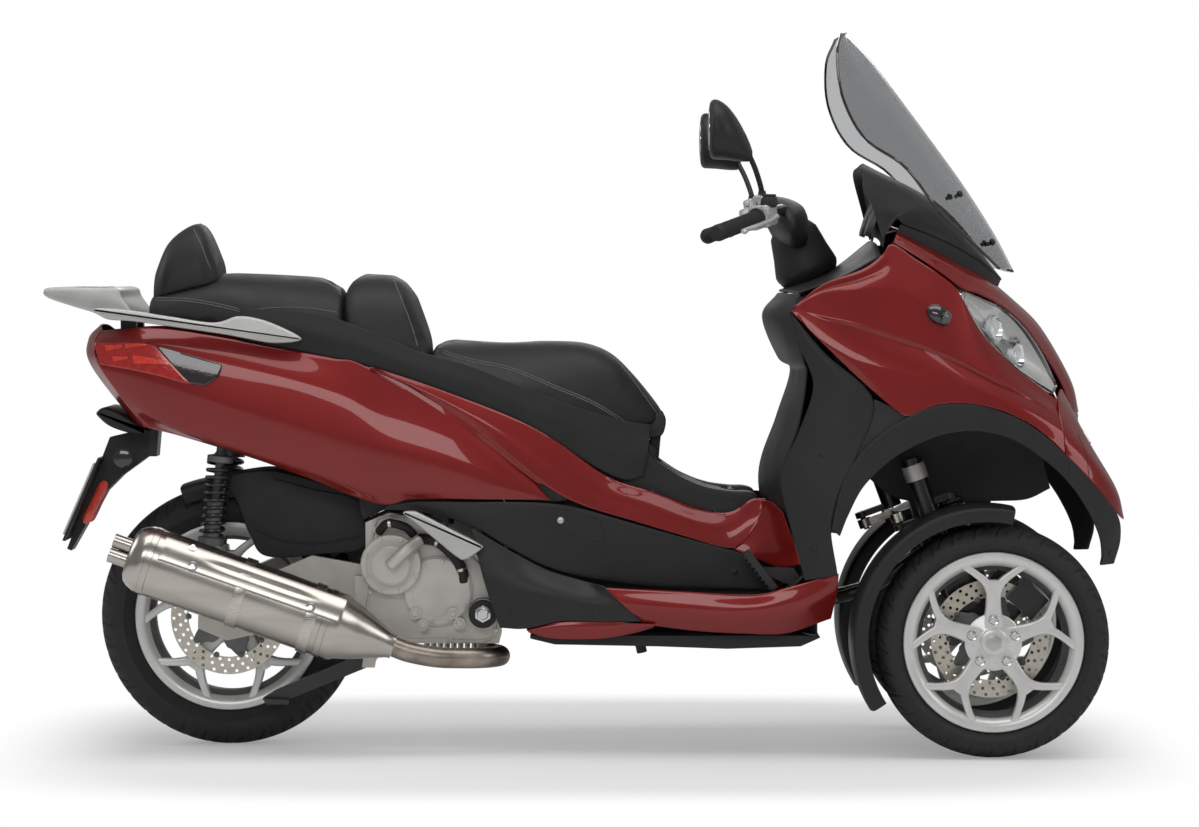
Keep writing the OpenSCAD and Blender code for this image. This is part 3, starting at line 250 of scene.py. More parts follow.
def circle(r, n=16, flat=1.0, square=2.0):
    """Points of a circle, flattened upwards and squared off as asked."""
    a = np.linspace(0, 2 * np.pi, n, endpoint=False)
    c, s = np.cos(a), np.sin(a)
    across, up = np.sign(c) * np.abs(c) ** (2 / square), np.sign(s) * np.abs(s) ** (2 / square)
    return np.stack([r * across, r * flat * up], 1)


def tube(points, r, steps=32, n=14, side=(0, 0, 1)):
    """A round tube along a smooth curve through the points, its ends rounded over."""
    path = curve(points, np.linspace(0, 1, steps))
    t0, t1 = unit(path[0] - path[1]), unit(path[-1] - path[-2])
    b = np.radians([80, 50, 20])
    head = path[0] + (0.4 * r * np.sin(b))[:, None] * t0
    foot = path[-1] + (0.4 * r * np.sin(b[::-1]))[:, None] * t1
    grow = np.concatenate([np.cos(b), np.ones(steps), np.cos(b[::-1])])
    return swept(np.concatenate([head, path, foot]), circle(r, n), side, grow)


def plate(outline, y0, y1, edge=2.0, n=3):
    """A plate between two values of y with an outline of (x, z) points; its rims are rounded: the outline is drawn
    in along a quarter circle at each face, and each face is one cap."""
    p = np.asarray(outline, float)
    step = np.roll(p, -1, 0) - np.roll(p, 1, 0)
    area = np.sum(p[:, 0] * np.roll(p[:, 1], -1) - np.roll(p[:, 0], -1) * p[:, 1])
    inward = unit(np.stack([-step[:, 1], step[:, 0]], 1)) * np.sign(area)
    b = np.radians(np.linspace(0, 90, n + 1))
    sgn = np.sign(y1 - y0)
    draw = np.concatenate([edge * (1 - np.sin(b)), edge * (1 - np.sin(b[::-1]))])
    level = np.concatenate([y0 + sgn * edge * (1 - np.cos(b)), y1 - sgn * edge * (1 - np.cos(b[::-1]))])
    q = p[None] + inward[None] * draw[:, None, None]
    pts = np.stack([q[..., 0], np.repeat(level[:, None], len(p), 1), q[..., 1]], -1)
    return pts, grid_faces(len(draw), len(p), wrap_v=True), end_caps(len(draw), len(p))


def block(low, high, r, n=3):
    """A box with rounded edges: a ball's points pushed out to the corners of the box."""
    low, high = np.asarray(low, float), np.asarray(high, float)
    lat = np.radians(np.concatenate([np.linspace(-90, 0, n + 1), np.linspace(0, 90, n + 1)]))
    lon = np.radians(np.concatenate([np.linspace(90 * q, 90 * q + 90, n + 1) for q in range(4)]))
    up = np.repeat([-1, 1], n + 1)
    qx, qy = np.repeat([1, -1, -1, 1], n + 1), np.repeat([1, 1, -1, -1], n + 1)
    half = (high - low) / 2 - r
    x = r * np.cos(lat)[:, None] * np.cos(lon) + half[0] * qx
    y = r * np.cos(lat)[:, None] * np.sin(lon) + half[1] * qy
    z = (r * np.sin(lat) + half[2] * up)[:, None] + 0 * x
    pts = np.stack([x, y, z], -1) + (low + high) / 2
    return pts, grid_faces(*pts.shape[:2], wrap_v=True), end_caps(*pts.shape[:2])


def loft(rings, nu):
    """A smooth body through rings of points, read at nu + 1 places along them."""
    pts = curve(np.asarray(rings, float), np.linspace(0, 1, nu + 1))
    return pts, grid_faces(*pts.shape[:2], wrap_v=True), end_caps(*pts.shape[:2])


def oval(x, y, z, half_y, half_z, n=28, square=2.0):
    """A ring across the length about a centre."""
    c = circle(1, n, 1, square)
    return np.stack([np.full(n, x), y + half_y * c[:, 0], z + half_z * c[:, 1]], 1)


def hex_bolt(at, way, r=5.0, h=4.0):
    """A flanged hexagon bolt head standing on a point and facing a way: rows of six points, wide at the foot, drawn
    in to the flats and bevelled at the top."""
    six = circle(r, 6)
    rows = [(1.35, 0.0), (1.35, 0.18 * h), (1.0, 0.25 * h), (1.0, 0.85 * h), (0.85, h)]
    pts = np.stack([np.column_stack([six * k, np.full(6, z)]) for k, z in rows])
    return moved([(pts, grid_faces(5, 6, wrap_v=True), end_caps(5, 6))], towards(way, BOLT_SIDE), at)


# Finishes

M = {}
FLECK = 0.0012  # size of a grain in metal paint, in metres


def finish(name, colour, rough, metal=0.0, coat=0.0, spread=0.12, patches=0.06, grain=0.002, bump=0.1,
           stretch=(1, 1, 1), depth=0.0004, cells=False, flecks=0.0, shine=0.5, clear=0.0, ior=1.5,
           axis_turn=(0, 0, 0)):
    """A procedural finish on object coordinates: slow patches vary its colour and gloss, and a fine grain of noise
    or cells gives its bump; flecks brighten single grains, as in metal paint."""
    mat = bpy.data.materials.new(name)
    mat.use_nodes = True
    nodes, links = mat.node_tree.nodes, mat.node_tree.links
    shader = nodes["Principled BSDF"]
    where = nodes.new("ShaderNodeTexCoord")
    turn = nodes.new("ShaderNodeMapping")
    turn.inputs["Scale"].default_value = stretch
    turn.inputs["Rotation"].default_value = axis_turn
    links.new(where.outputs["Object"], turn.inputs["Vector"])
    slow = nodes.new("ShaderNodeTexNoise")
    slow.inputs["Scale"].default_value = 1 / patches
    slow.inputs["Detail"].default_value = 4
    links.new(turn.outputs["Vector"], slow.inputs["Vector"])
    ramp = nodes.new("ShaderNodeValToRGB")
    ramp.color_ramp.elements[0].position, ramp.color_ramp.elements[1].position = 0.3, 0.7
    ramp.color_ramp.elements[0].color = (*[max(c * (1 - spread), 0) for c in colour], 1)
    ramp.color_ramp.elements[1].color = (*[min(c * (1 + spread), 1) for c in colour], 1)
    links.new(slow.outputs["Fac"], ramp.inputs["Fac"])
    shade = ramp.outputs["Color"]
    fine = nodes.new("ShaderNodeTexVoronoi" if cells else "ShaderNodeTexNoise")
    fine.inputs["Scale"].default_value = 1 / grain
    links.new(turn.outputs["Vector"], fine.inputs["Vector"])
    height = fine.outputs["Distance" if cells else "Fac"]
    if flecks:
        speck = nodes.new("ShaderNodeTexVoronoi")
        speck.inputs["Scale"].default_value = 1 / FLECK
        links.new(turn.outputs["Vector"], speck.inputs["Vector"])
        bright = nodes.new("ShaderNodeMix")
        bright.data_type = "RGBA"
        bright.blend_type = "MULTIPLY"
        bright.inputs["Factor"].default_value = flecks
        links.new(shade, bright.inputs["A"])
        links.new(speck.outputs["Color"], bright.inputs["B"])
        shade = bright.outputs["Result"]
    links.new(shade, shader.inputs["Base Color"])
    gloss = nodes.new("ShaderNodeMapRange")
    gloss.inputs["From Min"].default_value, gloss.inputs["From Max"].default_value = 0.3, 0.7
    gloss.inputs["To Min"].default_value, gloss.inputs["To Max"].default_value = rough * 0.85, min(rough * 1.15, 1)
    links.new(slow.outputs["Fac"], gloss.inputs["Value"])
    links.new(gloss.outputs["Result"], shader.inputs["Roughness"])
    if bump:
        bumps = nodes.new("ShaderNodeBump")
        bumps.inputs["Strength"].default_value = bump
        bumps.inputs["Distance"].default_value = depth
        links.new(height, bumps.inputs["Height"])
        links.new(bumps.outputs["Normal"], shader.inputs["Normal"])
    shader.inputs["Metallic"].default_value = metal
    shader.inputs["Coat Weight"].default_value = coat
    shader.inputs["Coat Roughness"].default_value = 0.04
    shader.inputs["Specular IOR Level"].default_value = shine
    shader.inputs["Transmission Weight"].default_value = clear
    shader.inputs["IOR"].default_value = ior
    M[name] = mat


finish("red_paint", (0.258, 0.0095, 0.0088), 0.36, metal=0.30, coat=0.8, spread=0.10, patches=0.35, grain=0.02,
       bump=0.015, flecks=0.22, shine=0.2)
finish("black_plastic", (0.018, 0.018, 0.0195), 0.48, spread=0.14, patches=0.08, grain=0.0011, bump=0.22, cells=True,
       shine=0.36)
finish("dark_plastic", (0.016, 0.016, 0.017), 0.58, spread=0.2, patches=0.05, grain=0.0009, bump=0.3, cells=True)
finish("black_paint", (0.012, 0.012, 0.013), 0.34, coat=0.3, spread=0.2, patches=0.05, grain=0.004, bump=0.08)
finish("cast_alloy", (0.58, 0.56, 0.52), 0.44, metal=0.55, spread=0.11, patches=0.07, grain=0.0016, bump=0.5,
       depth=0.0006)
finish("wheel_alloy", (0.70, 0.70, 0.685), 0.36, metal=0.45, coat=0.3, spread=0.05, patches=0.05, grain=0.003,
       bump=0.05)
finish("steel", (0.60, 0.56, 0.51), 0.27, metal=1.0, spread=0.12, patches=0.02, grain=0.0012, bump=0.12,
       stretch=(1, 1, 12))
finish("brushed", (0.53, 0.50, 0.455), 0.24, metal=1.0, spread=0.10, patches=0.03, grain=0.0012, bump=0.10,
       stretch=(0.06, 1, 1), axis_turn=(0, math.radians(-19.4), 0))
finish("hot_steel", (0.34, 0.29, 0.25), 0.36, metal=1.0, spread=0.35, patches=0.05, grain=0.003, bump=0.15)
finish("tyre_rubber", (0.017, 0.017, 0.018), 0.74, spread=0.22, patches=0.02, grain=0.0015, bump=0.3)
finish("rubber", (0.014, 0.014, 0.015), 0.66, spread=0.2, patches=0.02, grain=0.0014, bump=0.3)
finish("vinyl", (0.0185, 0.018, 0.0178), 0.50, spread=0.2, patches=0.05, grain=0.0016, bump=0.55, cells=True,
       depth=0.0003, shine=0.34)
finish("thread", (0.16, 0.16, 0.155), 0.7, spread=0.25, patches=0.004, grain=0.0006, bump=0.6)
finish("red_lens", (0.42, 0.012, 0.010), 0.10, coat=1.0, spread=0.25, patches=0.012, grain=0.004, bump=0.4,
       cells=True)
finish("red_glow", (0.72, 0.045, 0.02), 0.12, coat=1.0, spread=0.2, patches=0.01, grain=0.003, bump=0.3, cells=True)
finish("smoke_lens", (0.018, 0.012, 0.013), 0.08, coat=1.0, spread=0.3, patches=0.02, grain=0.005, bump=0.2,
       cells=True)
finish("clear_lens", (0.80, 0.81, 0.81), 0.03, clear=1.0, ior=1.35, spread=0.02, patches=0.05, grain=0.03, bump=0.01)
finish("screen", (0.44, 0.445, 0.45), 0.0, clear=1.0, ior=1.12, spread=0.03, patches=0.2, grain=0.05, bump=0.0)
finish("silver_paint", (0.56, 0.555, 0.54), 0.36, metal=0.5, coat=0.3, spread=0.06, patches=0.08, grain=0.003,
       bump=0.05, flecks=0.12)
finish("mirror_glass", (0.80, 0.82, 0.84), 0.03, metal=1.0, spread=0.03, patches=0.05, grain=0.05, bump=0.0)
finish("bright", (0.72, 0.72, 0.72), 0.16, metal=1.0, spread=0.05, patches=0.03, grain=0.004, bump=0.04)
finish("dark_barrel", (0.16, 0.16, 0.165), 0.45, metal=0.5, spread=0.2, patches=0.04, grain=0.003, bump=0.15)
finish("disc_steel", (0.62, 0.58, 0.50), 0.30, metal=1.0, spread=0.12, patches=0.015, grain=0.0008, bump=0.12)
finish("red_plastic", (0.45, 0.015, 0.012), 0.4, spread=0.1, patches=0.01, grain=0.001, bump=0.1)
finish("plate_white", (0.62, 0.62, 0.60), 0.4, spread=0.05, patches=0.05, grain=0.003, bump=0.05)


# Stage

def seen_rays(nodes, links):
    """One for a ray from the camera, straight or through glass, and nought for any other."""
    path = nodes.new("ShaderNodeLightPath")
    seen = nodes.new("ShaderNodeMath")
    seen.operation = "MAXIMUM"
    links.new(path.outputs["Is Camera Ray"], seen.inputs[0])
    links.new(path.outputs["Is Transmission Ray"], seen.inputs[1])
    return seen.outputs[0]


def set_stage():
    """A pale floor that fades to white far off, soft lamps above and beside, and the camera of the photograph."""
    far = 15.0
    mesh = bpy.data.meshes.new("floor")
    mesh.from_pydata([(-far, -far, 0), (far, -far, 0), (far, far, 0), (-far, far, 0)], [], [(0, 1, 2, 3)])
    floor = bpy.data.objects.new("floor", mesh)
    scene.collection.objects.link(floor)
    mat = bpy.data.materials.new("floor_white")
    mat.use_nodes = True
    nodes, links = mat.node_tree.nodes, mat.node_tree.links
    shader = nodes["Principled BSDF"]
    shader.inputs["Base Color"].default_value = (0.92, 0.92, 0.92, 1)
    shader.inputs["Roughness"].default_value = 0.8
    shader.inputs["Specular IOR Level"].default_value = 0.1
    where = nodes.new("ShaderNodeTexCoord")
    apart = nodes.new("ShaderNodeSeparateXYZ")
    links.new(where.outputs["Object"], apart.inputs["Vector"])

    def sum_of(kind, first, second):
        node = nodes.new("ShaderNodeMath")
        node.operation = kind
        for slot, value in enumerate((first, second)):
            if isinstance(value, float):
                node.inputs[slot].default_value = value
            else:
                links.new(value, node.inputs[slot])
        return node.outputs[0]

    # a squared oval: the fourth root of the sum of the fourth powers
    sides = []
    for axis, half in (("X", 1.28), ("Y", 0.95)):
        share = sum_of("ABSOLUTE", sum_of("DIVIDE", apart.outputs[axis], half), 0.0)
        sides.append(sum_of("POWER", share, 4.0))
    fade = nodes.new("ShaderNodeMapRange")
    fade.interpolation_type = "SMOOTHSTEP"
    fade.inputs["From Min"].default_value, fade.inputs["From Max"].default_value = 0.70, 1.0
    fade.inputs["To Min"].default_value, fade.inputs["To Max"].default_value = 0.28, 1.0
    links.new(sum_of("POWER", sum_of("ADD", *sides), 0.25), fade.inputs["Value"])
    seen_far = sum_of("MULTIPLY", fade.outputs["Result"], seen_rays(nodes, links))
    white = nodes.new("ShaderNodeEmission")
    white.inputs["Strength"].default_value = 1.0
    mix = nodes.new("ShaderNodeMixShader")
    links.new(seen_far, mix.inputs["Fac"])
    links.new(shader.outputs[0], mix.inputs[1])
    links.new(white.outputs[0], mix.inputs[2])
    links.new(mix.outputs[0], nodes["Material Output"].inputs["Surface"])
    mesh.materials.append(mat)

    world = bpy.data.worlds.new("studio")
    scene.world = world
    world.use_nodes = True
    nodes, links = world.node_tree.nodes, world.node_tree.links
    back = nodes["Background"]
    back.inputs["Color"].default_value = (1, 1, 1, 1)
    level = nodes.new("ShaderNodeMapRange")
    level.inputs["To Min"].default_value, level.inputs["To Max"].default_value = 0.24, 1.0
    links.new(seen_rays(nodes, links), level.inputs["Value"])
    links.new(level.outputs["Result"], back.inputs["Strength"])

    lamps = [("top", (0.0, -0.6, 4.2), (0, 0, 0.3), 5.0, 2.6, 84),
             ("near", (-0.8, -4.6, 2.6), (0, 0, 0.6), 3.6, 1.2, 44),
             ("front", (4.2, -2.0, 2.4), (0.4, 0, 0.6), 2.0, 2.0, 28),
             ("back", (-4.2, 1.0, 2.6), (-0.4, 0, 0.7), 2.0, 2.0, 24),
             ("far", (0.2, 4.6, 2.8), (0, 0, 0.7), 3.2, 1.4, 28)]
    for name, at, aim, wide, high, power in lamps:
        lamp = bpy.data.lights.new(name, "AREA")
        lamp.shape, lamp.size, lamp.size_y, lamp.energy = "RECTANGLE", wide, high, power
        holder = bpy.data.objects.new(name, lamp)
        scene.collection.objects.link(holder)
        holder.location = at
        holder.rotation_euler = (Vector(aim) - Vector(at)).to_track_quat("-Z", "Y").to_euler()

    eye = bpy.data.cameras.new("camera")
    eye.sensor_width, eye.lens = 36.0, 113.0
    camera = bpy.data.objects.new("camera", eye)
    scene.collection.objects.link(camera)
    camera.location = (0.031, -7.830, 0.986)
    camera.rotation_euler = (math.radians(90 - 2.18), 0, 0)
    scene.camera = camera
    scene.view_settings.view_transform = "Standard"


set_stage()

# Finishes of the solids that stay in sight

CAD_FINISH = {
    "black_paint": ["frame_front", "frame_lower", "frame_rear", "centre_stand", "knuckle_left", "knuckle_right",
                    "handlebar"],
    "cast_alloy": ["engine", "swing_arm", "suspension_arms"],
    "dark_plastic": ["luggage_bin", "saddle_base", "brake_pedal"],
    "black_plastic": ["footboards", "tunnel_cover", "fuel_lid", "plate_bracket"],
    "steel": ["tie_rod"],
}
for material, names in CAD_FINISH.items():
    for name in names:
        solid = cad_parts[name]
        solid.data.materials.clear()
        solid.data.materials.append(M[material])


# Moulded bodywork: each panel's rails run along it, from one edge to the other, as in the solids

SIDE = [
    [[-900, -125, 665], [-820, -150, 646], [-680, -175, 605], [-560, -185, 563], [-420, -190, 512], [-345, -195, 522],
     [-200, -198, 522], [-70, -190, 520]],
    [[-945, -140, 722], [-850, -172, 675], [-700, -195, 625], [-570, -205, 590], [-440, -208, 552], [-352, -208, 545],
     [-202, -205, 548], [-76, -190, 524]],
    [[-985, -150, 785], [-870, -185, 760], [-715, -205, 715], [-585, -213, 678], [-462, -215, 642], [-375, -214, 622],
     [-218, -206, 588], [-80, -189, 529]],
    [[-1000, -135, 835], [-885, -172, 835], [-740, -192, 802], [-602, -202, 770], [-492, -204, 735],
     [-402, -203, 692], [-240, -198, 634], [-86, -186, 537]],
    [[-990, -100, 862], [-887, -140, 868], [-765, -158, 853], [-622, -166, 826], [-512, -172, 806], [-442, -175, 788],
     [-262, -185, 678], [-94, -182, 549]],
]
STRIP = [
    [[-424, -175, 784], [-338, -179, 739], [-214, -186, 659], [-84, -187, 554], [-6, -184, 511], [100, -178, 478],
     [215, -170, 443], [290, -165, 422], [322, -163, 430], [352, -160, 470]],
    [[-433, -178, 785], [-335, -183, 745], [-190, -186, 672], [-74, -183, 595], [20, -177, 538], [122, -169, 506],
     [226, -161, 470], [293, -157, 456], [334, -156, 474], [362, -155, 496]],
    [[-434, -176, 789], [-322, -176, 753], [-157, -170, 690], [-60, -164, 638], [45, -155, 565], [140, -146, 532],
     [235, -139, 497], [296, -137, 490], [341, -139, 516], [370, -141, 519]],
]
COVER = [
    [[-405, -185, 500], [-330, -190, 495], [-233, -196, 470], [-154, -198, 425], [-75, -196, 385], [10, -190, 362],
     [140, -180, 344], [297, -170, 338], [375, -165, 336]],
    [[-400, -188, 505], [-330, -195, 505], [-233, -200, 492], [-148, -200, 470], [-70, -196, 450], [5, -190, 432],
     [120, -181, 408], [260, -171, 380], [362, -164, 360]],
    [[-395, -190, 508], [-330, -196, 514], [-234, -198, 514], [-142, -198, 514], [-65, -195, 510], [0, -188, 498],
     [100, -181, 469], [215, -173, 437], [350, -163, 400]],
]
LOWER = [
    [[-170, -215, 262], [-120, -230, 262], [-48, -240, 278], [30, -248, 278], [112, -252, 278]],
    [[-200, -222, 350], [-140, -236, 345], [-65, -246, 335], [15, -254, 318], [75, -258, 312]],
    [[-228, -203, 462], [-150, -206, 416], [-75, -208, 378], [0, -222, 356], [38, -252, 346]],
]
SILL = [
    [[122, -238, 270], [220, -238, 258], [320, -236, 252], [410, -230, 252], [500, -215, 280]],
    [[85, -262, 306], [200, -266, 298], [320, -268, 294], [420, -266, 306], [510, -248, 335]],
    [[44, -258, 345], [200, -260, 337], [340, -260, 331], [415, -262, 347], [512, -255, 372]],
]
TAIL = [
    [[-902, -122, 664], [-925, -70, 666], [-930, 0, 668]],
    [[-988, -146, 785], [-1015, -80, 788], [-1022, 0, 790]],
    [[-1003, -130, 836], [-1022, -75, 842], [-1028, 0, 845]],
    [[-992, -96, 864], [-1000, -60, 872], [-1004, 0, 874]],
]
SHIELD = [[[edge, 248, z], [flank, 140, z], [middle, 0, z], [flank, -140, z], [edge, -248, z]]
          for z, middle, flank, edge in [
              (392, 395, 405, 450), (555, 362, 372, 398), (680, 400, 407, 432), (775, 432, 434, 446),
              (805, 402, 412, 440), (890, 370, 380, 420), (938, 402, 410, 432)]]
WING = [
    [[413, -255, 903], [433, -260, 835], [462, -264, 755], [433, -258, 660], [398, -252, 584], [403, -252, 523],
     [446, -255, 362]],
    [[416, -257, 901], [460, -270, 830], [520, -280, 742], [490, -280, 640], [450, -275, 570], [446, -272, 500],
     [478, -264, 368]],
    [[417, -257, 899], [484, -271, 819], [578, -283, 727], [544, -288, 612], [512, -289, 548], [494, -285, 470],
     [509, -264, 373]],
]
FAIRING = [
    [[418, -258, 904], [495, -276, 824], [560, -285, 762], [620, -291, 711], [652, -293, 695], [704, -294, 717],
     [770, -294, 721], [834, -292, 707], [870, -290, 692], [902, -287, 675], [940, -282, 645], [966, -277, 620]],
    [[426, -258, 906], [462, -272, 858], [530, -284, 814], [575, -288, 798], [622, -290, 787], [690, -291, 771],
     [760, -290, 753], [815, -288, 737], [850, -286, 723], [890, -282, 705], [930, -276, 683], [963, -269, 661]],
    [[428, -257, 909], [475, -264, 894], [530, -268, 881], [580, -270, 867], [630, -271, 851], [690, -271, 831],
     [745, -269, 809], [790, -266, 787], [830, -262, 766], [872, -255, 743], [920, -246, 716], [960, -238, 691]],
    [[427, -255, 912], [480, -250, 936], [545, -244, 946], [590, -239, 951], [630, -234, 950], [680, -237, 926],
     [730, -239, 894], [770, -239, 861], [810, -236, 823], [860, -228, 779], [925, -214, 733], [962, -212, 705]],
    [[424, -253, 914], [482, -238, 957], [561, -216, 987], [601, -202, 1014], [625, -190, 1038], [672, -197, 1008],
     [720, -204, 976], [757, -208, 943], [800, -214, 866], [860, -207, 800], [940, -192, 738], [965, -196, 716]],
]
NOSE = [
    [[630, -186, 1044], [682, -193, 1012], [727, -199, 981], [767, -200, 952], [802, -193, 940], [852, -172, 914],
     [902, -146, 872], [947, -116, 812], [985, -92, 750], [1002, -86, 700]],
    [[640, -150, 1066], [690, -145, 1040], [740, -138, 1012], [788, -130, 984], [830, -118, 960], [880, -100, 920],
     [930, -82, 872], [968, -66, 818], [1006, -52, 750], [1020, -48, 696]],
    [[660, 0, 1072], [705, 0, 1048], [750, 0, 1022], [800, 0, 992], [845, 0, 962], [890, 0, 925], [938, 0, 880],
     [978, 0, 820], [1014, 0, 750], [1027, 0, 692]],
]
LAMP = [
    [[773, -209, 918], [814, -214, 860], [862, -205, 804], [910, -196, 766], [952, -187, 738]],
    [[771, -208, 932], [826, -202, 886], [878, -183, 838], [926, -160, 790], [962, -142, 742]],
    [[772, -202, 944], [850, -178, 910], [900, -152, 868], [943, -122, 808], [972, -102, 750]],
]
BEAK = [
    [[970, -277, 613], [1032, -262, 552], [1080, -228, 497], [1099, -180, 482], [1088, -120, 500], [1064, -60, 540],
     [1052, 0, 555]],
    [[967, -270, 650], [1025, -248, 602], [1070, -215, 552], [1082, -175, 545], [1070, -120, 565], [1050, -60, 592],
     [1042, 0, 602]],
    [[963, -240, 690], [1000, -215, 658], [1022, -190, 642], [1028, -155, 640], [1026, -110, 645], [1024, -60, 655],
     [1022, 0, 660]],
    [[963, -201, 720], [966, -180, 730], [972, -150, 737], [981, -117, 740], [1003, -91, 702], [1020, -50, 690],
     [1026, 0, 686]],
]
ARCH = [
    [[514, -280, 455], [531, -284, 498], [560, -288, 553], [605, -290, 599], [652, -291, 631], [718, -292, 658],
     [788, -292, 666], [860, -288, 648], [926, -280, 605], [972, -270, 564], [1016, -255, 505], [1044, -236, 450],
     [1052, -222, 410], [1050, -215, 390]],
    [[500, -286, 468], [516, -290, 546], [552, -292, 612], [602, -294, 660], [652, -296, 690], [704, -297, 711],
     [770, -297, 715], [834, -295, 701], [902, -290, 668], [966, -280, 614], [1030, -264, 548], [1078, -230, 490],
     [1088, -205, 440], [1076, -200, 392]],
]
LINER = [
    [[566, -74, 640], [610, -74, 674], [657, -74, 702], [718, -74, 722], [788, -74, 727], [852, -74, 710],
     [906, -76, 676], [940, -80, 640]],
    [[560, -180, 600], [606, -180, 645], [655, -180, 676], [718, -180, 702], [788, -180, 708], [856, -180, 690],
     [914, -180, 652], [952, -178, 616]],
    [[548, -276, 552], [600, -280, 604], [652, -283, 637], [718, -284, 664], [788, -284, 672], [860, -280, 654],
     [922, -270, 614], [964, -258, 576]],
]
COWL = [
    [[648, -166, 1080], [742, -148, 1044], [812, -112, 1006], [850, -60, 980], [866, 0, 968]],
    [[630, -178, 1092], [680, -150, 1110], [715, -110, 1115], [735, -60, 1116], [742, 0, 1116]],
    [[606, -186, 1052], [590, -172, 1110], [568, -125, 1185], [575, -65, 1203], [578, 0, 1207]],
]
SCREEN = [[edge, [m[0] - 0.36 * (m[0] - edge[0]), 0.6 * edge[1], m[2] - 0.36 * (m[2] - edge[2])], m] for edge, m in [
    ([856, -70, 990], [892, 0, 984]), ([785, -140, 1052], [848, 0, 1066]), ([718, -195, 1110], [786, 0, 1162]),
    ([648, -225, 1196], [722, 0, 1250]), ([566, -245, 1252], [658, 0, 1336]), ([522, -235, 1335], [596, 0, 1418]),
    ([514, -185, 1424], [558, 0, 1460]), ([528, -90, 1470], [542, 0, 1477])]]
DASH = [
    [[600, -196, 1016], [596, -110, 1040], [590, 0, 1046]],
    [[520, -222, 974], [510, -120, 980], [505, 0, 982]],
    [[432, -235, 942], [414, -130, 944], [406, 0, 946]],
]


def ease(a, b, v):
    """A smooth rise from nought at a to one at b."""
    s = np.clip((v - a) / (b - a), 0, 1)
    return s * s * (3 - 2 * s)


def pressed(g):
    """The fairing's grid pressed in along its normals: a leaf that deepens from its lower edge to its upper one and
    ends there in a step, and a groove of bell section beside the upper rear rim; both fade towards their ends."""
    u, t = np.meshgrid(np.linspace(0, 1, g.shape[0]), np.linspace(0, 1, g.shape[1]), indexing="ij")
    leaf_across = np.clip((t - 0.25) / 0.225, 0, 1) ** 2 * (1 - ease(0.475, 0.51, t))
    leaf = 6.5 * leaf_across * ease(0.03, 0.28, u) * (1 - ease(0.70, 0.97, u))
    groove = 4.5 * np.exp(-((t - 0.89) / 0.04) ** 2) * ease(0.03, 0.13, u) * (1 - ease(0.26, 0.37, u))
    out = grid_normals(g)
    out = out * np.sign(-out[..., 1:2])
    return g - out * (leaf + groove)[..., None]


make("side_panel_shells", mirror([shell(patch(SIDE, 90, 40, SIDE_CREASE), SKIN), shell(patch(STRIP, 80, 12), SKIN)]),
     "red_paint", replaced="side_panels")
panel_rim, strip_rim = curve(SIDE[4], np.linspace(0.70, 1, 60)), curve(STRIP[0], np.linspace(0.004, 0.335, 60))
across = np.linspace(-0.4, 1.4, 7)[None, :, None]
seam_bed = panel_rim[:, None] * (1 - across) + strip_rim[:, None] * across + [0, 2.2, 0]
make("panel_seam_beds", mirror([shell(seam_bed, 1.5)]), "red_paint")
make("side_cover_shells", mirror([shell(patch(COVER, 80, 16), SKIN), shell(patch(LOWER, 44, 24), SKIN)]),
     "black_plastic", replaced="side_covers")
make("sill_shells", mirror([shell(patch(SILL, 60, 24), SKIN)]), "red_paint", replaced="sills")
make("tail_shell", [shell(patch(both(TAIL[::-1]), 48, 24), SKIN)], "red_paint")
make("leg_shield_shell", [shell(patch(SHIELD, 48, 64), SKIN)], "black_plastic", replaced="leg_shield")
make("wing_shells", mirror([shell(patch(WING, 80, 20), SKIN)]), "black_plastic")
make("fairing_shells", mirror([shell(pressed(patch(FAIRING, 120, 120, FAIRING_CREASE)), SKIN)]), "red_paint",
     replaced="fairings")
whole_nose = NOSE + [np.asarray(r) * [1, -1, 1] for r in NOSE[1::-1]]
make("nose_shell", [shell(patch(whole_nose, 72, 48), SKIN)], "red_paint", replaced="nose")
make("headlamp_lenses", mirror([shell(patch(LAMP, 48, 24), SKIN)]), "clear_lens", replaced="headlamps")
make("beak_shell", [shell(patch(both(BEAK), 110, 28), SKIN)], "red_paint")
FILL = [
    [[584, -277, 726], [568, -280, 684], [550, -284, 644], [544, -285, 606]],
    [[656, -288, 694], [614, -287, 668], [574, -286, 634], [548, -286, 602]],
]
joint = curve([[502, -277, 458], [513, -281, 546], [547, -283, 612], [592, -282, 664]], np.linspace(0, 1, 40))
make("wing_fillers", mirror([shell(patch(FILL, 40, 12), 3), swept(joint, circle(15, 16, 0.14), (0, 1, 0))]),
     "black_plastic")
backing = closed_curve([[-160, 606], [-100, 588], [-40, 566], [-26, 524], [-80, 514], [-146, 530]], 48)
shroud = closed_curve([[-456, 478], [-458, 548], [-390, 532], [-320, 520], [-300, 500], [-330, 486], [-398, 496],
                       [-430, 486]], 56)
make("inner_covers", mirror([plate(backing, -177, -173, edge=1.5), plate(shroud, -122, -117, edge=2)]),
     "dark_plastic")
wall = [[-130, 290], [-132, 498], [-60, 528], [0, 538], [45, 536], [140, 504], [235, 471], [296, 460], [345, 468],
        [390, 458], [394, 330], [382, 270]]
well = [[-93, 556], [-79, 620], [20, 620], [44, 604], [60, 564], [58, 541], [-90, 541]]
well_floor = [[-98, 552], [-90, 557], [52, 557], [62, 552], [52, 541], [-88, 541]]
side_walls = [plate(wall, -152, -148, edge=1.5), plate(well, -127, -122, edge=1.5)]
make("tunnel_walls", mirror(side_walls) + [plate(well_floor, -147, 147, edge=2)], "dark_plastic")
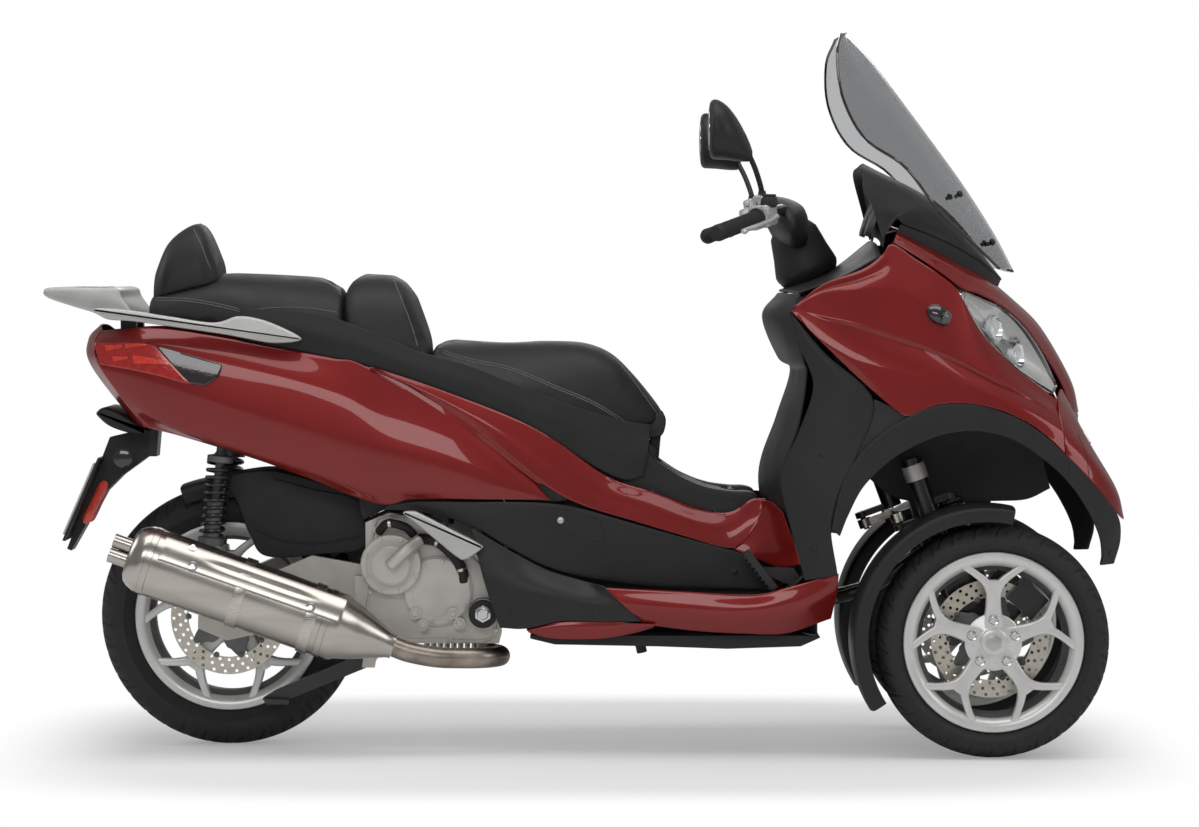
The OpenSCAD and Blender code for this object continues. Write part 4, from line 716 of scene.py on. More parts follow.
FLANK = [
    [[306, -157, 417], [331, -156, 441], [351, -152, 477], [366, -142, 514]],
    [[356, -176, 398], [372, -176, 438], [382, -172, 478], [382, -166, 513]],
    [[398, -204, 385], [402, -204, 428], [397, -200, 472], [391, -194, 507]],
    [[440, -246, 394], [428, -243, 430], [413, -240, 468], [403, -237, 496]],
]
make("tunnel_flanks", mirror([shell(patch(FLANK, 32, 32), 3)]), "red_paint")
tunnel_cheek = closed_curve([[126, 624], [138, 606], [160, 588], [200, 562], [250, 542], [300, 534], [332, 533],
                             [350, 528], [357, 519], [350, 507], [300, 488], [240, 497], [150, 528], [104, 560],
                             [96, 600], [108, 622]], 96)
make("tunnel_cheeks", mirror([plate(tunnel_cheek, -127, -76, edge=7, n=5)]), "black_plastic")
FOOT = [
    [[447, 246, 398], [407, 140, 398], [398, 0, 398], [407, -140, 398], [447, -246, 398]],
    [[470, 238, 320], [442, 140, 312], [434, 0, 308], [442, -140, 312], [470, -238, 320]],
    [[474, 200, 248], [452, 140, 246], [446, 0, 245], [452, -140, 246], [474, -200, 248]],
]
make("shield_foot", [shell(patch(FOOT, 48, 16), 3)], "dark_plastic")
make("arch_shells", mirror([shell(patch(ARCH, 110, 8), 6)]), "black_plastic", replaced="wheel_arches")
INNER = [
    LINER[0],
    [[578, -60, 600], [616, -58, 610], [660, -56, 620], [718, -54, 630], [788, -54, 632], [852, -54, 622],
     [908, -56, 604], [948, -60, 590]],
    [[596, -50, 552], [626, -48, 526], [662, -47, 512], [718, -47, 510], [788, -47, 510], [856, -47, 510],
     [916, -48, 514], [962, -52, 536]],
]
make("arch_liners", mirror([shell(patch(LINER, 60, 24), 3), shell(patch(INNER, 60, 24), 3)]), "dark_plastic")
make("cowl_shell", [shell(patch(both(COWL), 72, 28), SKIN)], "black_plastic", replaced="cowl")
hem = np.array(COWL[0], float)
HEM = [hem * [1, 0.96, 1] - [4, 0, 1], hem * [1, 0.93, 1] - [14, 0, 26], hem * [1, 0.92, 1] - [26, 0, 50]]
make("cowl_hem", [shell(patch(both(HEM), 60, 10), 3)], "dark_plastic")
make("screen_pane", [shell(patch(both(SCREEN), 72, 72), SKIN)], "screen", replaced="windscreen")
make("dash_shell", [shell(patch(both(DASH), 48, 24), SKIN)], "black_plastic")


def gap_line(rails, places, crease=0.0, r=0.9, n=48, closed=False):
    """A thin line laid on a panel along a smooth curve through places given as shares (along, across) of its
    rails."""
    c = closed_curve(places, n) if closed else curve(places, np.linspace(0, 1, n))
    c = np.concatenate([c, c[:1]]) if closed else c
    path = on_patch(rails, c[:, 0], c[:, 1], crease)
    return swept(path, circle(r, 8), (0, 1, 0))


def dome(at, way, r, h):
    """A low round head on a point, facing a way: a rim, then a shallow dome."""
    b = np.radians(np.linspace(0, 90, 6))
    line = [(r, -1.5), *np.column_stack([r * np.cos(b), h * np.sin(b)])]
    return moved([spun(line, 24)], towards(way, BOLT_SIDE), at)


hatch = [[0.49, 0.93], [0.505, 0.78], [0.54, 0.64], [0.60, 0.58], [0.665, 0.56], [0.673, 0.62], [0.668, 0.80],
         [0.655, 0.93], [0.58, 0.955]]
make("panel_gaps", mirror([
    gap_line(COVER, hatch, closed=True, n=96),
    gap_line(ARCH, [[0.695, 0.02], [0.70, 0.5], [0.705, 0.98]], r=0.8, n=12),
    gap_line(both(BEAK), [[0.06, 0.02], [0.063, 0.3], [0.07, 0.62]], r=0.8, n=20)]), "rubber")
lock = on_patch(COVER, np.array([0.535]), np.array([0.76]))[0]
make("hatch_locks", mirror([*dome(lock, (0, -1, 0.1), 7, 2.5)]), "silver_paint")
studs = []
stud_places = ((WING, [(0.55, 0.5), (0.93, 0.5)]), (LOWER, [(0.18, 0.2), (0.75, 0.3)]), (COVER, [(0.93, 0.5)]),
               (ARCH, [(0.06, 0.5), (0.95, 0.5)]))
for rails, places in stud_places:
    for u, t in places:
        at = on_patch(rails, np.array([u, u + 0.01, u]), np.array([t, t, t + 0.02]))
        way = unit(np.cross(at[1] - at[0], at[2] - at[0]))
        studs += dome(at[0], way, 6.5, 2.5)
make("panel_studs", mirror(studs), "rubber")
LIP = [
    [[-112, -224, 252], [-60, -228, 241], [30, -232, 241], [90, -234, 250], [138, -236, 262]],
    [[-114, -228, 256], [-56, -236, 262], [36, -242, 262], [92, -244, 264], [141, -243, 266]],
    [[-116, -224, 260], [-52, -234, 274], [40, -242, 275], [94, -246, 272], [144, -246, 270]],
]
make("lower_lips", mirror([shell(patch(LIP, 40, 12), 3)]), "red_paint")

# Instruments, and the screen's edge and knobs
PANEL = [
    [[592, -132, 1128], [584, -100, 1168], [582, 0, 1180]],
    [[612, -150, 1082], [606, -98, 1112], [602, 0, 1120]],
    [[606, -172, 1034], [602, -100, 1050], [597, 0, 1056]],
]
make("instrument_panel", [shell(patch(both(PANEL), 40, 24), 3)], "dark_plastic")
rings, dials = [], []
to_rider = towards((-1.0, 0, 0.35))
for y, z, r in ((-74, 1096, 40), (74, 1096, 40), (0, 1110, 34)):
    at = np.array([598 - 0.02 * abs(y), y, z])
    bezel = [(r - 3, -4), (r + 3, -4), (r + 3, 6), (r + 1, 8), (r - 1, 8), (r - 3, 3)]
    rings += moved([revolved(bezel, 48)], to_rider @ np.array([[1, 0, 0], [0, 0, -1], [0, 1, 0]]), at)
    dials += moved([spun([(r - 2.5, -3), (r - 2.5, 2), (0, 2.4)], 40)], to_rider, at)
make("gauge_rings", rings, "dark_barrel")
make("gauge_dials", dials, "smoke_lens")
pane = patch(both(SCREEN), 72, 72)
pane_mid = pane - 2 * grid_normals(pane)
edge_path = np.concatenate([pane_mid[0], pane_mid[1:-1, -1], pane_mid[-1, ::-1]])
make("screen_edge", [swept(edge_path[::2], circle(3.0, 10), (0.7, 0.1, -0.7))], "smoke_lens")
knobs = []
knob = [(0, -14), (4, -14), (4, -5), (7, -5), (7, 0), (6, 2.5), (4, 4), (0, 4.2)]
for goal in ((768, -96, 1140), (842, -70, 1043)):
    i, j = np.unravel_index(np.argmin(np.linalg.norm(pane - np.array(goal), axis=-1)), pane.shape[:2])
    way = grid_normals(pane)[i, j]
    knobs += moved([spun(knob, 28)], towards(way), pane[i, j])
make("screen_knobs", mirror(knobs), "rubber")


# Wheels

def tyre(name, node, body, centre, side, r, w, flange_r, bead_r, rim_half, pitches):
    """A tyre: the solid's outline (sidewall, then a crown whose radius follows a power of the cosine) turned about
    the axle, with slanting grooves sunk where a sawtooth of the turn and of the distance from the middle comes near
    zero."""
    wide_r = flange_r + 0.3 * (r - flange_r)
    a = np.radians(np.linspace(90, -90, 57))
    ring_r = np.concatenate([[bead_r, flange_r], wide_r + (r - wide_r) * np.maximum(np.cos(a), 0) ** 0.8,
                             [flange_r, bead_r]])
    ring_y = np.concatenate([[rim_half, rim_half], w / 2 * np.sin(a), [-rim_half, -rim_half]])
    turn = np.linspace(0, 2 * np.pi, 720, endpoint=False)[:, None]
    share = ring_y[None] / (w / 2)
    out = np.abs(share)
    step = 2 * np.pi * r / pitches

    def groove(phase, half_width, near, far):
        d = np.abs((phase + 0.5) % 1 - 0.5) * step
        inside = np.clip((out - near) / 0.05, 0, 1) * np.clip((far - out) / 0.05, 0, 1)
        return np.clip((half_width + 0.8 - d) / 1.2, 0, 1) * inside

    base = turn * pitches / (2 * np.pi) + 0.5 * (share > 0)
    sunk = groove(base - 0.75 * out ** 1.4, 3.2, 0.10, 0.88)
    sunk = np.maximum(sunk, groove(base - 0.5 - 0.5 * out, 2.2, 0.45, 0.95))
    sunk = np.maximum(sunk, groove(base - 0.25 + 0.4 * out, 1.6, 0.2, 0.5))
    on_tread = (ring_r[None] > wide_r + 2) * np.ones_like(turn)
    rr = ring_r[None] - 4.0 * sunk * on_tread
    # raised bands on the sidewall
    band = 0.8 * (np.abs(ring_r[None] - (flange_r + 0.12 * (r - flange_r))) < 2.5)
    yy = ring_y[None] + np.sign(ring_y)[None] * band
    pts = np.stack([rr * np.cos(turn), yy + 0 * turn, rr * np.sin(turn)], -1) * [1, side, 1] + centre
    make(name, [(pts, grid_faces(720, len(ring_r), wrap_u=True, wrap_v=True))], "tyre_rubber", body, node, smooth=40)


def drilled_disc(r0, r1, thick, rings, cells, hole):
    """A flat ring pierced by holes: a polar grid whose every cell has a round hole, each border joined to its
    circle, with the same on the other face; staggered rings share the points of their borders."""
    edges = np.linspace(r0, r1, rings + 1)
    parts = []
    k = np.arange(cells)[:, None]
    f = np.linspace(0, 1, 7)
    u = np.concatenate([f[:-1], [1, 1], f[:0:-1], [0, 0]])
    v = np.concatenate([np.zeros(6), [0, 0.5], np.ones(6), [1, 0.5]])
    for i in range(rings):
        lo, hi = edges[i], edges[i + 1]
        mid, half = (lo + hi) / 2, np.pi / cells
        offset = 2 * np.pi / cells * (i % 3) / 3
        ang = offset + 2 * np.pi / cells * (k + u[None])
        rad = lo + (hi - lo) * v[None] + 0 * ang
        border = np.stack([rad * np.cos(ang), rad * np.sin(ang)], -1)
        c_ang = offset + 2 * np.pi / cells * (k + 0.5)
        centre = np.stack([mid * np.cos(c_ang), mid * np.sin(c_ang)], -1)
        way = unit(np.stack([(u[None] - 0.5) * 2 * half * mid, (v[None] - 0.5) * (hi - lo)], -1))
        e_t = np.stack([-np.sin(c_ang), np.cos(c_ang)], -1)
        e_r = np.stack([np.cos(c_ang), np.sin(c_ang)], -1)
        ring = centre + hole * (way[..., :1] * e_t + way[..., 1:] * e_r)
        for cell in range(cells):
            rows = [(border[cell], thick / 2), (ring[cell], thick / 2), (ring[cell], -thick / 2),
                    (border[cell], -thick / 2)]
            pts = np.stack([np.column_stack([b[:, 0], np.full(16, h), b[:, 1]]) for b, h in rows])
            parts.append((pts, grid_faces(4, 16, wrap_v=True)))
    n = cells * 6
    a = np.linspace(0, 2 * np.pi, n, endpoint=False)[:, None]
    for rad, i in ((r0, 0), (r1, rings - 1)):
        b = a + 2 * np.pi / cells * (i % 3) / 3
        h = np.array([[thick / 2, -thick / 2]])
        pts = np.stack([rad * np.cos(b) + 0 * h, h + 0 * b, rad * np.sin(b) + 0 * h], -1)
        parts.append((pts, grid_faces(n, 2, wrap_u=True)))
    return parts


def spoke(reach, y0, y1):
    """One forked spoke: a squared section carried out along the radius and drawn in to a waist, and two arms that
    leave it there and swing apart to the rim; the face dips towards the hub by a share of the distance from the
    rim."""
    k = reach / 163
    section = circle(1, 28, 1, 5)
    trunk = np.array([[14, 0, 27], [40, 0, 21.5], [62, 0, 17], [80, 0, 15.4], [98, 0, 15], [110, 0, 15.8],
                      [119, 0, 15], [125, 0, 11]])
    arm = np.array([[88, 5, 9.5], [103, 7, 9.5], [117, 13.5, 9], [129, 25, 8], [141, 41, 7.2], [153.5, 60, 7.6]])
    lines = [trunk, arm, arm * [1, -1, 1]]
    parts = []
    for line in lines:
        along, across, half = curve(line * k, np.linspace(0, 1, 40)).T
        dip = 7.0 * np.clip(1 - np.hypot(along, across) / reach, 0, 1)
        path = np.stack([along, (y0 + y1) / 2 - dip, across], 1)
        parts.append(swept(path, section, (0, 1, 0), np.stack([half, np.full(40, (y1 - y0) / 2)], 1)))
    return parts


def wheel(prefix, node, body, centre, side, flange_r, bead_r, half, spoke_y, hub_in, disc_y):
    """A cast wheel: lip rings and barrel turned about the axle, five forked spokes, hub with bolts and cap, drilled
    disc."""
    def place(parts):
        return [(np.asarray(p, float).reshape(-1, 3) * [1, side, 1] + centre, *rest) for p, *rest in parts]

    lip = half + 7
    rim = bead_r - 4
    ring = [(flange_r, half + 1), (flange_r + 0.6, half + 4), (flange_r - 1, lip), (flange_r - 5, lip + 0.8),
            (bead_r + 2, lip - 0.2), (rim + 2, lip - 3), (rim - 5, half - 2), (rim - 7, half - 8),
            (rim - 4, half - 9), (bead_r - 1, half - 2)]
    back = [(r, -y) for r, y in ring]
    make(prefix + "_lips", place([revolved(ring, 144), revolved(back, 144)]), "wheel_alloy", body)
    barrel = [(rim - 5, half - 6), (rim - 16, half - 26), (rim - 18, 0), (rim - 16, -half + 26), (rim - 5, -half + 6),
              (rim - 1, -half + 6), (rim - 12, -half + 26), (rim - 13, 0), (rim - 12, half - 26), (rim - 1, half - 6)]
    make(prefix + "_barrel", place([revolved(barrel, 144)]), "dark_barrel", body)
    arms = []
    for k in range(5):
        arms += moved(spoke(rim + 2, *spoke_y), about_y(90 + 72 * k))
    make(prefix + "_spokes", place(arms), "wheel_alloy", body, node)
    face = spoke_y[1] - 7
    hub = [(13, hub_in), (34, hub_in), (38, hub_in + 4), (42, face - 20), (48, face - 8), (57, face - 6),
           (58, face - 2), (55, face), (30, face + 1), (27, face + 3), (26, face + 7), (22, face + 9), (13, face + 9)]
    make(prefix + "_hub", place([revolved(hub, 72)]), "wheel_alloy", body)
    nuts = []
    for k in range(5):
        a = math.radians(90 + 72 * k)
        at = np.array([46 * math.cos(a), face + 1, 46 * math.sin(a)])
        nuts += moved([revolved([(7, 0), (10.5, 0), (11, 1), (10.5, 2), (7.5, 0.8)], 24)], None, at)
        nuts += hex_bolt(at, (0, 1, 0), 6.0, 7)
    make(prefix + "_nuts", place(nuts), "bright", body)
    make(prefix + "_cap", place(hex_bolt((0, face + 7, 0), (0, 1, 0), 17, 7)), "silver_paint", body)
    disc = drilled_disc(84, 120, 4.5, 3, 30, 3.4)
    make(prefix + "_disc", place(moved(disc, None, (0, disc_y, 0))), "disc_steel", body)
    a = np.radians(np.arange(0, 360, 3))
    wave = 66 + 22 * np.cos(5 * a) ** 2 * np.sign(np.cos(5 * a))
    star = [plate(np.stack([wave * np.cos(a), wave * np.sin(a)], 1), disc_y - 3, disc_y + 3, edge=1.2)]
    for k in range(10):
        b = math.radians(36 * k)
        star += hex_bolt((83 * math.cos(b), disc_y + 3, 83 * math.sin(b)), (0, 1, 0), 5, 3)
    make(prefix + "_disc_carrier", place(star), "dark_barrel", body)


for sign, word in HANDS:
    hub_at = FRONT_AXLE * [1, sign, 1]
    body = f"wheel_front_{word}"
    tyre(f"front_tread_{word}", f"front_tyre_{word}", body, hub_at, sign, 237, 110, *FRONT_RIM, pitches=30)
    wheel(f"front_{word}", f"front_wheel_{word}", body, hub_at, sign, *FRONT_RIM, spoke_y=(22, 43), hub_in=-38,
          disc_y=-36)
tyre("rear_tread", "rear_tyre", "wheel_rear", REAR_AXLE, -1, 270, 140, *REAR_RIM, pitches=34)
wheel("rear", "rear_wheel", "wheel_rear", REAR_AXLE, -1, *REAR_RIM, spoke_y=(26, 50), hub_in=-70, disc_y=60)


# Mudguards

def guard(centre, r, half, drop, arc):
    """A mudguard: a crowned section carried round an arc about a centre, given thickness and rolled edges."""
    section = [[r - drop, -half], [r - 10, -half - 3], [r - 2, -0.7 * half], [r, 0],
               [r - 2, 0.7 * half], [r - 10, half + 3], [r - drop, half]]
    across = curve(section, np.linspace(0, 1, 41))
    a = np.radians(np.linspace(*arc, 81))[:, None]
    out, over = across[None, :, 0], across[None, :, 1]
    g = np.stack([out * np.cos(a), over + 0 * a, out * np.sin(a)], -1) + centre
    return shell(g[:, ::-1], 3)


for sign, word in HANDS:
    guard_at = np.array([809, sign * 232.5, 243])
    make(f"front_guard_{word}", [guard(guard_at, 273, 64, 34, (78, 212))], "black_plastic", f"knuckle_{word}",
         f"mudguard_{word}")
GUARD_TOP = [[-764, 557], [-712, 568], [-655, 574], [-600, 565], [-555, 552], [-515, 546], [-470, 545]]
skirt = closed_curve(GUARD_TOP + [[-453, 530], [-452, 470], [-455, 414], [-540, 400], [-655, 396], [-690, 440],
                                  [-722, 520]], 112)
roof_line = curve(GUARD_TOP, np.linspace(0, 1, 40))
across = np.linspace(-80, 80, 24)[None, :]
roof = np.stack([roof_line[:, :1] + 0 * across, across + 0 * roof_line[:, :1],
                 roof_line[:, 1:] + 2 - 0.0004 * across ** 2], -1)
guard_foot = plate([[-490, 416], [-448, 404], [-448, 428], [-500, 440]], -40, 40)
make("rear_guard", [guard(REAR_AXLE, 289, 78, 40, (30, 110)), shell(roof, 3), guard_foot], "black_plastic",
     replaced="rear_mudguard")
make("rear_skirts", mirror([plate(skirt, -84.5, -77.5, edge=3, n=4)]), "dark_plastic")
creases = [tube([[x, -85, z] for x, z in line], 2.2, 30, 8, (0, 1, 0)) for line in (
    [[-640, 556], [-560, 534], [-490, 520], [-462, 505]], [[-676, 452], [-620, 428], [-540, 424], [-462, 438]])]
make("skirt_ribs", mirror(creases), "dark_plastic")


# Exhaust

BACK, FORE = np.array([-898, -225, 404.0]), np.array([-492, -225, 261.0])
LONG = float(np.linalg.norm(FORE - BACK))
AXIS = (FORE - BACK) / LONG
ALONG = towards(AXIS)
can = [(0, -24), (46, -23), (56, -18), (63, -9), (67, 0), (69, 4), (70, 9), (70, 14),
       (71.4, 15), (71.4, 27), (70, 28), (70, LONG - 40), (71.4, LONG - 39), (71.4, LONG - 27), (70, LONG - 26),
       (70, LONG - 8), (68, LONG - 2), (64, LONG + 4), (56, LONG + 30), (44, LONG + 60), (31, LONG + 92),
       (26, LONG + 104), (25, LONG + 112), (0, LONG + 112)]
make("silencer", moved([spun(can, 96)], ALONG, BACK), "brushed", replaced="exhaust")


def on_can(r, turn, along):
    """Points at radius r from the silencer's axis: turn is the angle up from its outer side in degrees, along the
    distance from its rear end."""
    turn, along = np.broadcast_arrays(np.radians(turn), along)
    local = np.stack([-np.sin(turn) * r, -np.cos(turn) * r, along], -1)
    return local @ ALONG.T + BACK


turn_grid, along_grid = np.meshgrid(np.linspace(14, 58, 21), np.linspace(40, LONG - 6, 61), indexing="ij")
dent = np.clip(1 - np.abs(turn_grid - 36) / 9, 0, 1)
dent = dent * np.clip((along_grid - 120) / 60, 0, 1) * np.clip((LONG - 50 - along_grid) / 60, 0, 1)
make("heat_shield", [shell(on_can(76 - 3 * dent, turn_grid, along_grid)[::-1], 2.0)], "brushed")
rivets = []
for turn_deg, along in ((52, 96), (20, 110), (20, LONG - 70)):
    way = unit(on_can(76, turn_deg, along) - on_can(0, turn_deg, along))
    washer = spun([(0, 0), (10, 0), (10, 1.5), (7, 2.5), (0, 2.5)], 28)
    rivets += moved([washer], towards(way), on_can(75.5, turn_deg, along))
    rivets += hex_bolt(on_can(77.5, turn_deg, along), way, 5, 3.5)
make("shield_rivets", rivets, "bright")
strap_line = [(69.6, 0), (73.2, 0), (73.6, 1), (73.6, 21), (73.2, 22), (69.6, 22)]
straps = []
for along in (0.5 * LONG - 10, LONG - 74):
    straps += moved([stood_up(revolved(strap_line, 96))], ALONG, BACK + AXIS * along)
make("silencer_straps", straps, "steel")
outlet = [(13, -58), (13, -100), (14, -101), (15, -100), (15, -58)]
outlets = []
for across, up in ((-15, 4), (15, -2)):
    outlets += moved([stood_up(revolved(outlet, 40))], ALONG, BACK + ALONG @ np.array([across, up, 38]))
make("tail_pipes", outlets, "brushed")
start = FORE + 112 * AXIS
pipe = [start + AXIS, start + 36 * AXIS, [-300, -222, 202], [-250, -212, 199], [-205, -196, 198], [-174, -160, 198],
        [-182, -122, 198], [-206, -106, 202], [-208, -104, 212], [-208, -104, 220]]
make("header_pipe", [swept(curve(pipe, np.linspace(0, 1, 90)), circle(21, 24), (0.2, 0.9, 0.4))], "hot_steel")


# Spring units

def coil(foot, top, r, wire, turns, z0, z1, n=24):
    """A spring: a circle carried along a helix about the line from foot to top, between two distances along it."""
    t = np.linspace(0, 1, int(turns * n) + 1)
    a = 2 * np.pi * turns * t
    path = np.stack([r * np.cos(a), r * np.sin(a), z0 + (z1 - z0) * t], 1)
    return moved([swept(path, circle(wire, 10), (0, 0, 1))], towards(top - foot), foot)


spring_parts, damper_parts = [], []
for sign in (-1, 1):
    foot, top = np.array([-770, sign * 128, 396.0]), np.array([-741, sign * 128, 640.0])
    long = float(np.linalg.norm(top - foot))
    spring_parts += coil(foot, top, 23, 4.2, 9.5, 46, 196)
    body_line = [(0, 14), (10, 14), (10, 26), (16, 28), (27, 28), (27.5, 42), (20, 44), (17, 46), (17, 120), (9, 122),
                 (9, 196), (20, 198), (27, 199), (27, 211), (14, 214), (10, 220), (10, long - 14), (0, long - 14)]
    damper_parts += moved([spun(body_line, 40)], towards(top - foot), foot)
    eye = [(8.2, -12), (14.5, -12), (16, -10.5), (16, 10.5), (14.5, 12), (8.2, 12)]
    damper_parts += moved([revolved(eye, 40)], None, foot) + moved([revolved(eye, 40)], None, top)
make("spring_coils", spring_parts, "black_paint")
make("spring_dampers", damper_parts, "dark_barrel", replaced="rear_shocks")


# Castings and fittings of the engine

pump_face = -178.0
pump_at = np.array([-395, 0, 385.0])
pump_ring = [(30, pump_face - 1), (37, pump_face - 1), (38, pump_face), (38, pump_face + 4), (30, pump_face + 4)]
castings = moved([revolved(pump_ring, 64),
                  revolved([(50, -168), (60, -168), (61.5, -166.5), (61.5, -160), (50, -160)], 72)], None, pump_at)
for k in range(8):
    a = math.radians(22 + 45 * k)
    castings += hex_bolt(pump_at + [56 * math.cos(a), -168, 56 * math.sin(a)], (0, -1, 0), 4.5, 5)
spout = pump_at + [[0, pump_face - 12, 0], [14, pump_face - 13, 14], [34, pump_face - 10, 32], [58, -172, 50]]
castings.append(tube(spout, 13, 24, 18, (0, 1, 0)))
clutch_at = np.array([-300, 0, 330.0])
castings += moved([revolved([(52, -154), (67, -154), (68.5, -152.5), (68.5, -150), (52, -150)], 72)], None, clutch_at)
for k in range(7):
    a = math.radians(-100 + 36 * k)
    castings += hex_bolt(clutch_at + [62 * math.cos(a), -154, 62 * math.sin(a)], (0, -1, 0), 4.2, 5)
seam_line = closed_curve([[-440, 236], [-440, 330], [-430, 462], [-398, 482], [-336, 472], [-226, 394], [-187, 330],
                          [-186, 236], [-300, 230]], 120)
seam_path = np.column_stack([seam_line[:, 0], np.full(120, -140.4), seam_line[:, 1]])
castings.append(swept(seam_path[np.r_[0:120, 0]], circle(3.2, 10), (0, 1, 0)))
for k in range(0, 120, 13):
    castings += hex_bolt([seam_line[k, 0] * 0.985 - 4.5, -143, seam_line[k, 1] * 0.985 + 4.5], (0, -1, 0), 5, 5)
for x, z in ((-345, 285), (-268, 285), (-255, 265), (-330, 262)):
    castings += hex_bolt([x, -160, z], (0, -1, 0), 7, 5)
make("engine_castings", castings, "cast_alloy")
BELT_FRONT, BELT_REAR = np.array([-312, 0, 332.0]), np.array([-716, 0, 275.0])
belt_line = closed_curve([[-428, 452], [-330, 424], [-242, 388], [-212, 340], [-203, 290], [-226, 238], [-320, 233],
                          [-420, 233], [-570, 224], [-715, 217], [-775, 236], [-793, 275], [-776, 316], [-730, 332],
                          [-640, 366], [-540, 410]], 160)
belt = [plate(belt_line, 160, 172, edge=5, n=5)]
front_boss = [(20, 170), (84, 170), (86, 174), (82, 182), (74, 186), (30, 187), (20, 184)]
rear_boss = [(20, 170), (48, 170), (50, 174), (47, 180), (40, 183), (24, 183), (20, 181)]
belt += moved([revolved(front_boss, 96)], None, BELT_FRONT) + moved([revolved(rear_boss, 72)], None, BELT_REAR)
for x0, z0, x1, z1 in ((-402, 372, -668, 306), (-404, 340, -664, 286), (-402, 306, -664, 264),
                       (-392, 270, -670, 244)):
    belt.append(tube([[x0, 171, z0], [(x0 + x1) / 2, 173, (z0 + z1) / 2], [x1, 171, z1]], 5.5, 24, 12, (0, 1, 0)))
for k in range(12):
    a = math.radians(30 * k)
    ray = [BELT_FRONT + [r * math.cos(a), y, r * math.sin(a)] for r, y in ((40, 187), (56, 187), (72, 186))]
    belt.append(tube(ray, 3.0, 8, 8, (0, 1, 0)))
make("belt_cover", belt, "cast_alloy")
ring = [(26, 182), (31, 182), (31, 188.5), (30, 189.5), (0.1, 189.5), (0.1, 182)]
rear_ring = [(r * 0.66, y - 4) for r, y in ring]
make("belt_cap", moved([revolved(ring, 48)], None, BELT_FRONT) + moved([revolved(rear_ring, 40)], None, BELT_REAR),
     "dark_barrel")
screws = []
for k in range(0, 160, 11):
    inward = unit(np.array([-500.0, 0, 310.0]) - [belt_line[k, 0], 0, belt_line[k, 1]])
    screws += hex_bolt(np.array([belt_line[k, 0], 172, belt_line[k, 1]]) + 11 * inward, (0, 1, 0), 5, 5)
make("belt_cover_screws", screws, "bright")
bush = moved([revolved([(16, -172), (27, -172), (29.5, -170), (29.5, -150), (31, -148), (31, -141), (16, -141)], 48)],
             None, (-207, 0, 285))
make("engine_bush", bush, "rubber")
make("engine_bush_bolt", [*hex_bolt([-207, -170, 285], (0, -1, 0), 13, 12)], "bright")
long_hose = [[-336, -150, 438], [-300, -166, 432], [-266, -162, 402], [-250, -150, 372], [-246, -146, 350]]
short_hose = [[-420, -146, 452], [-400, -166, 470], [-366, -160, 462], [-350, -148, 446]]
make("coolant_hoses", [tube(long_hose, 11, 40, 16), tube(short_hose, 9, 32, 16)], "rubber")
clips = []
clip_places = (([-300, -166, 432], (0.9, -0.1, -0.35), 12.2), ([-252, -151, 376], (0.3, 0.2, -1), 12.2),
               ([-398, -166, 469.5], (0.95, 0, 0.1), 10.2))
for at, way, r in clip_places:
    clips += moved([stood_up(revolved([(r - 1.5, -3), (r, -3), (r, 3), (r - 1.5, 3)], 32))], towards(way), at)
make("hose_clips", clips, "steel")
fins = [block((-330 + 14 * k, -120, 196), (-324 + 14 * k, 40, 223), 1.5) for k in range(9)]
make("sump_fins", fins, "cast_alloy")
drain = [(7, 0), (10, 0), (10.5, 1), (10.5, 46), (10, 47), (7, 47)]
make("drain_stub", moved([stood_up(revolved(drain, 32))], towards((0.22, 0, -1)), (108, -150, 250)), "rubber")
mats = []
for k in range(7):
    y = -196 - 8 * k
    mats.append(tube([[80, y, 329.8], [230, y, 327], [384, y, 324.2]], 2.2, 20, 8, (0, 1, 0)))
make("floor_ribs", mirror(mats), "rubber")
neck = [[150, 584], [157, 581], [200, 550.5], [250, 530.5], [283, 523], [292, 517], [290, 512], [250, 520],
        [195, 542], [148, 574]]
make("lid_seat", [plate(neck, -64, 64, edge=1.5)], "rubber")
under_tail = closed_curve([[-1004, 694], [-986, 704], [-950, 690], [-912, 664], [-900, 654], [-930, 650], [-975, 664],
                           [-1000, 684]], 56)
make("tail_lip", [plate(under_tail, -96, 96, edge=8, n=5)], "black_plastic")

# Plate and its reflectors
make("blank_plate", [*moved([block((-2.4, -88, -80), (2.4, 88, 80), 1.5)], about_y(-23.5), (-1042, 0, 515))],
     "plate_white")
reflector = closed_curve([[-1004, 548], [-988, 541], [-1008, 500], [-1028, 462], [-1043, 469], [-1024, 508]], 40)
make("plate_reflectors", mirror([plate(reflector, -30, -35, edge=1.5)]), "red_glow")

# Rack and grab rails

leaf = closed_curve([[-996, 908], [-925, 905], [-840, 892], [-752, 880], [-700, 893], [-640, 881], [-574, 847],
                     [-628, 838], [-690, 848], [-740, 857], [-905, 881], [-965, 887]], 96)
rack = closed_curve([[-1101, 941], [-1090, 929], [-1040, 912], [-1000, 900], [-970, 886], [-930, 885], [-919, 898],
                     [-940, 930], [-952, 950], [-1000, 951], [-1085, 951]], 88)
make("rack_and_rails", mirror([plate(leaf, -196, -168, edge=5, n=5)]) + [plate(rack, -169, 169, edge=5, n=4)],
     "silver_paint", replaced="grab_rail")
sockets = []
socket = [(0, 944), (3.3, 944), (3.3, 951), (6, 952), (7.5, 951.6), (7.5, 950.5), (0, 950.5)]
for x in (-1050, -990):
    for y in (-45, 45):
        sockets += moved([spun(socket, 24)], None, (x, y, 0))
make("rack_sockets", sockets, "rubber")


# Seats

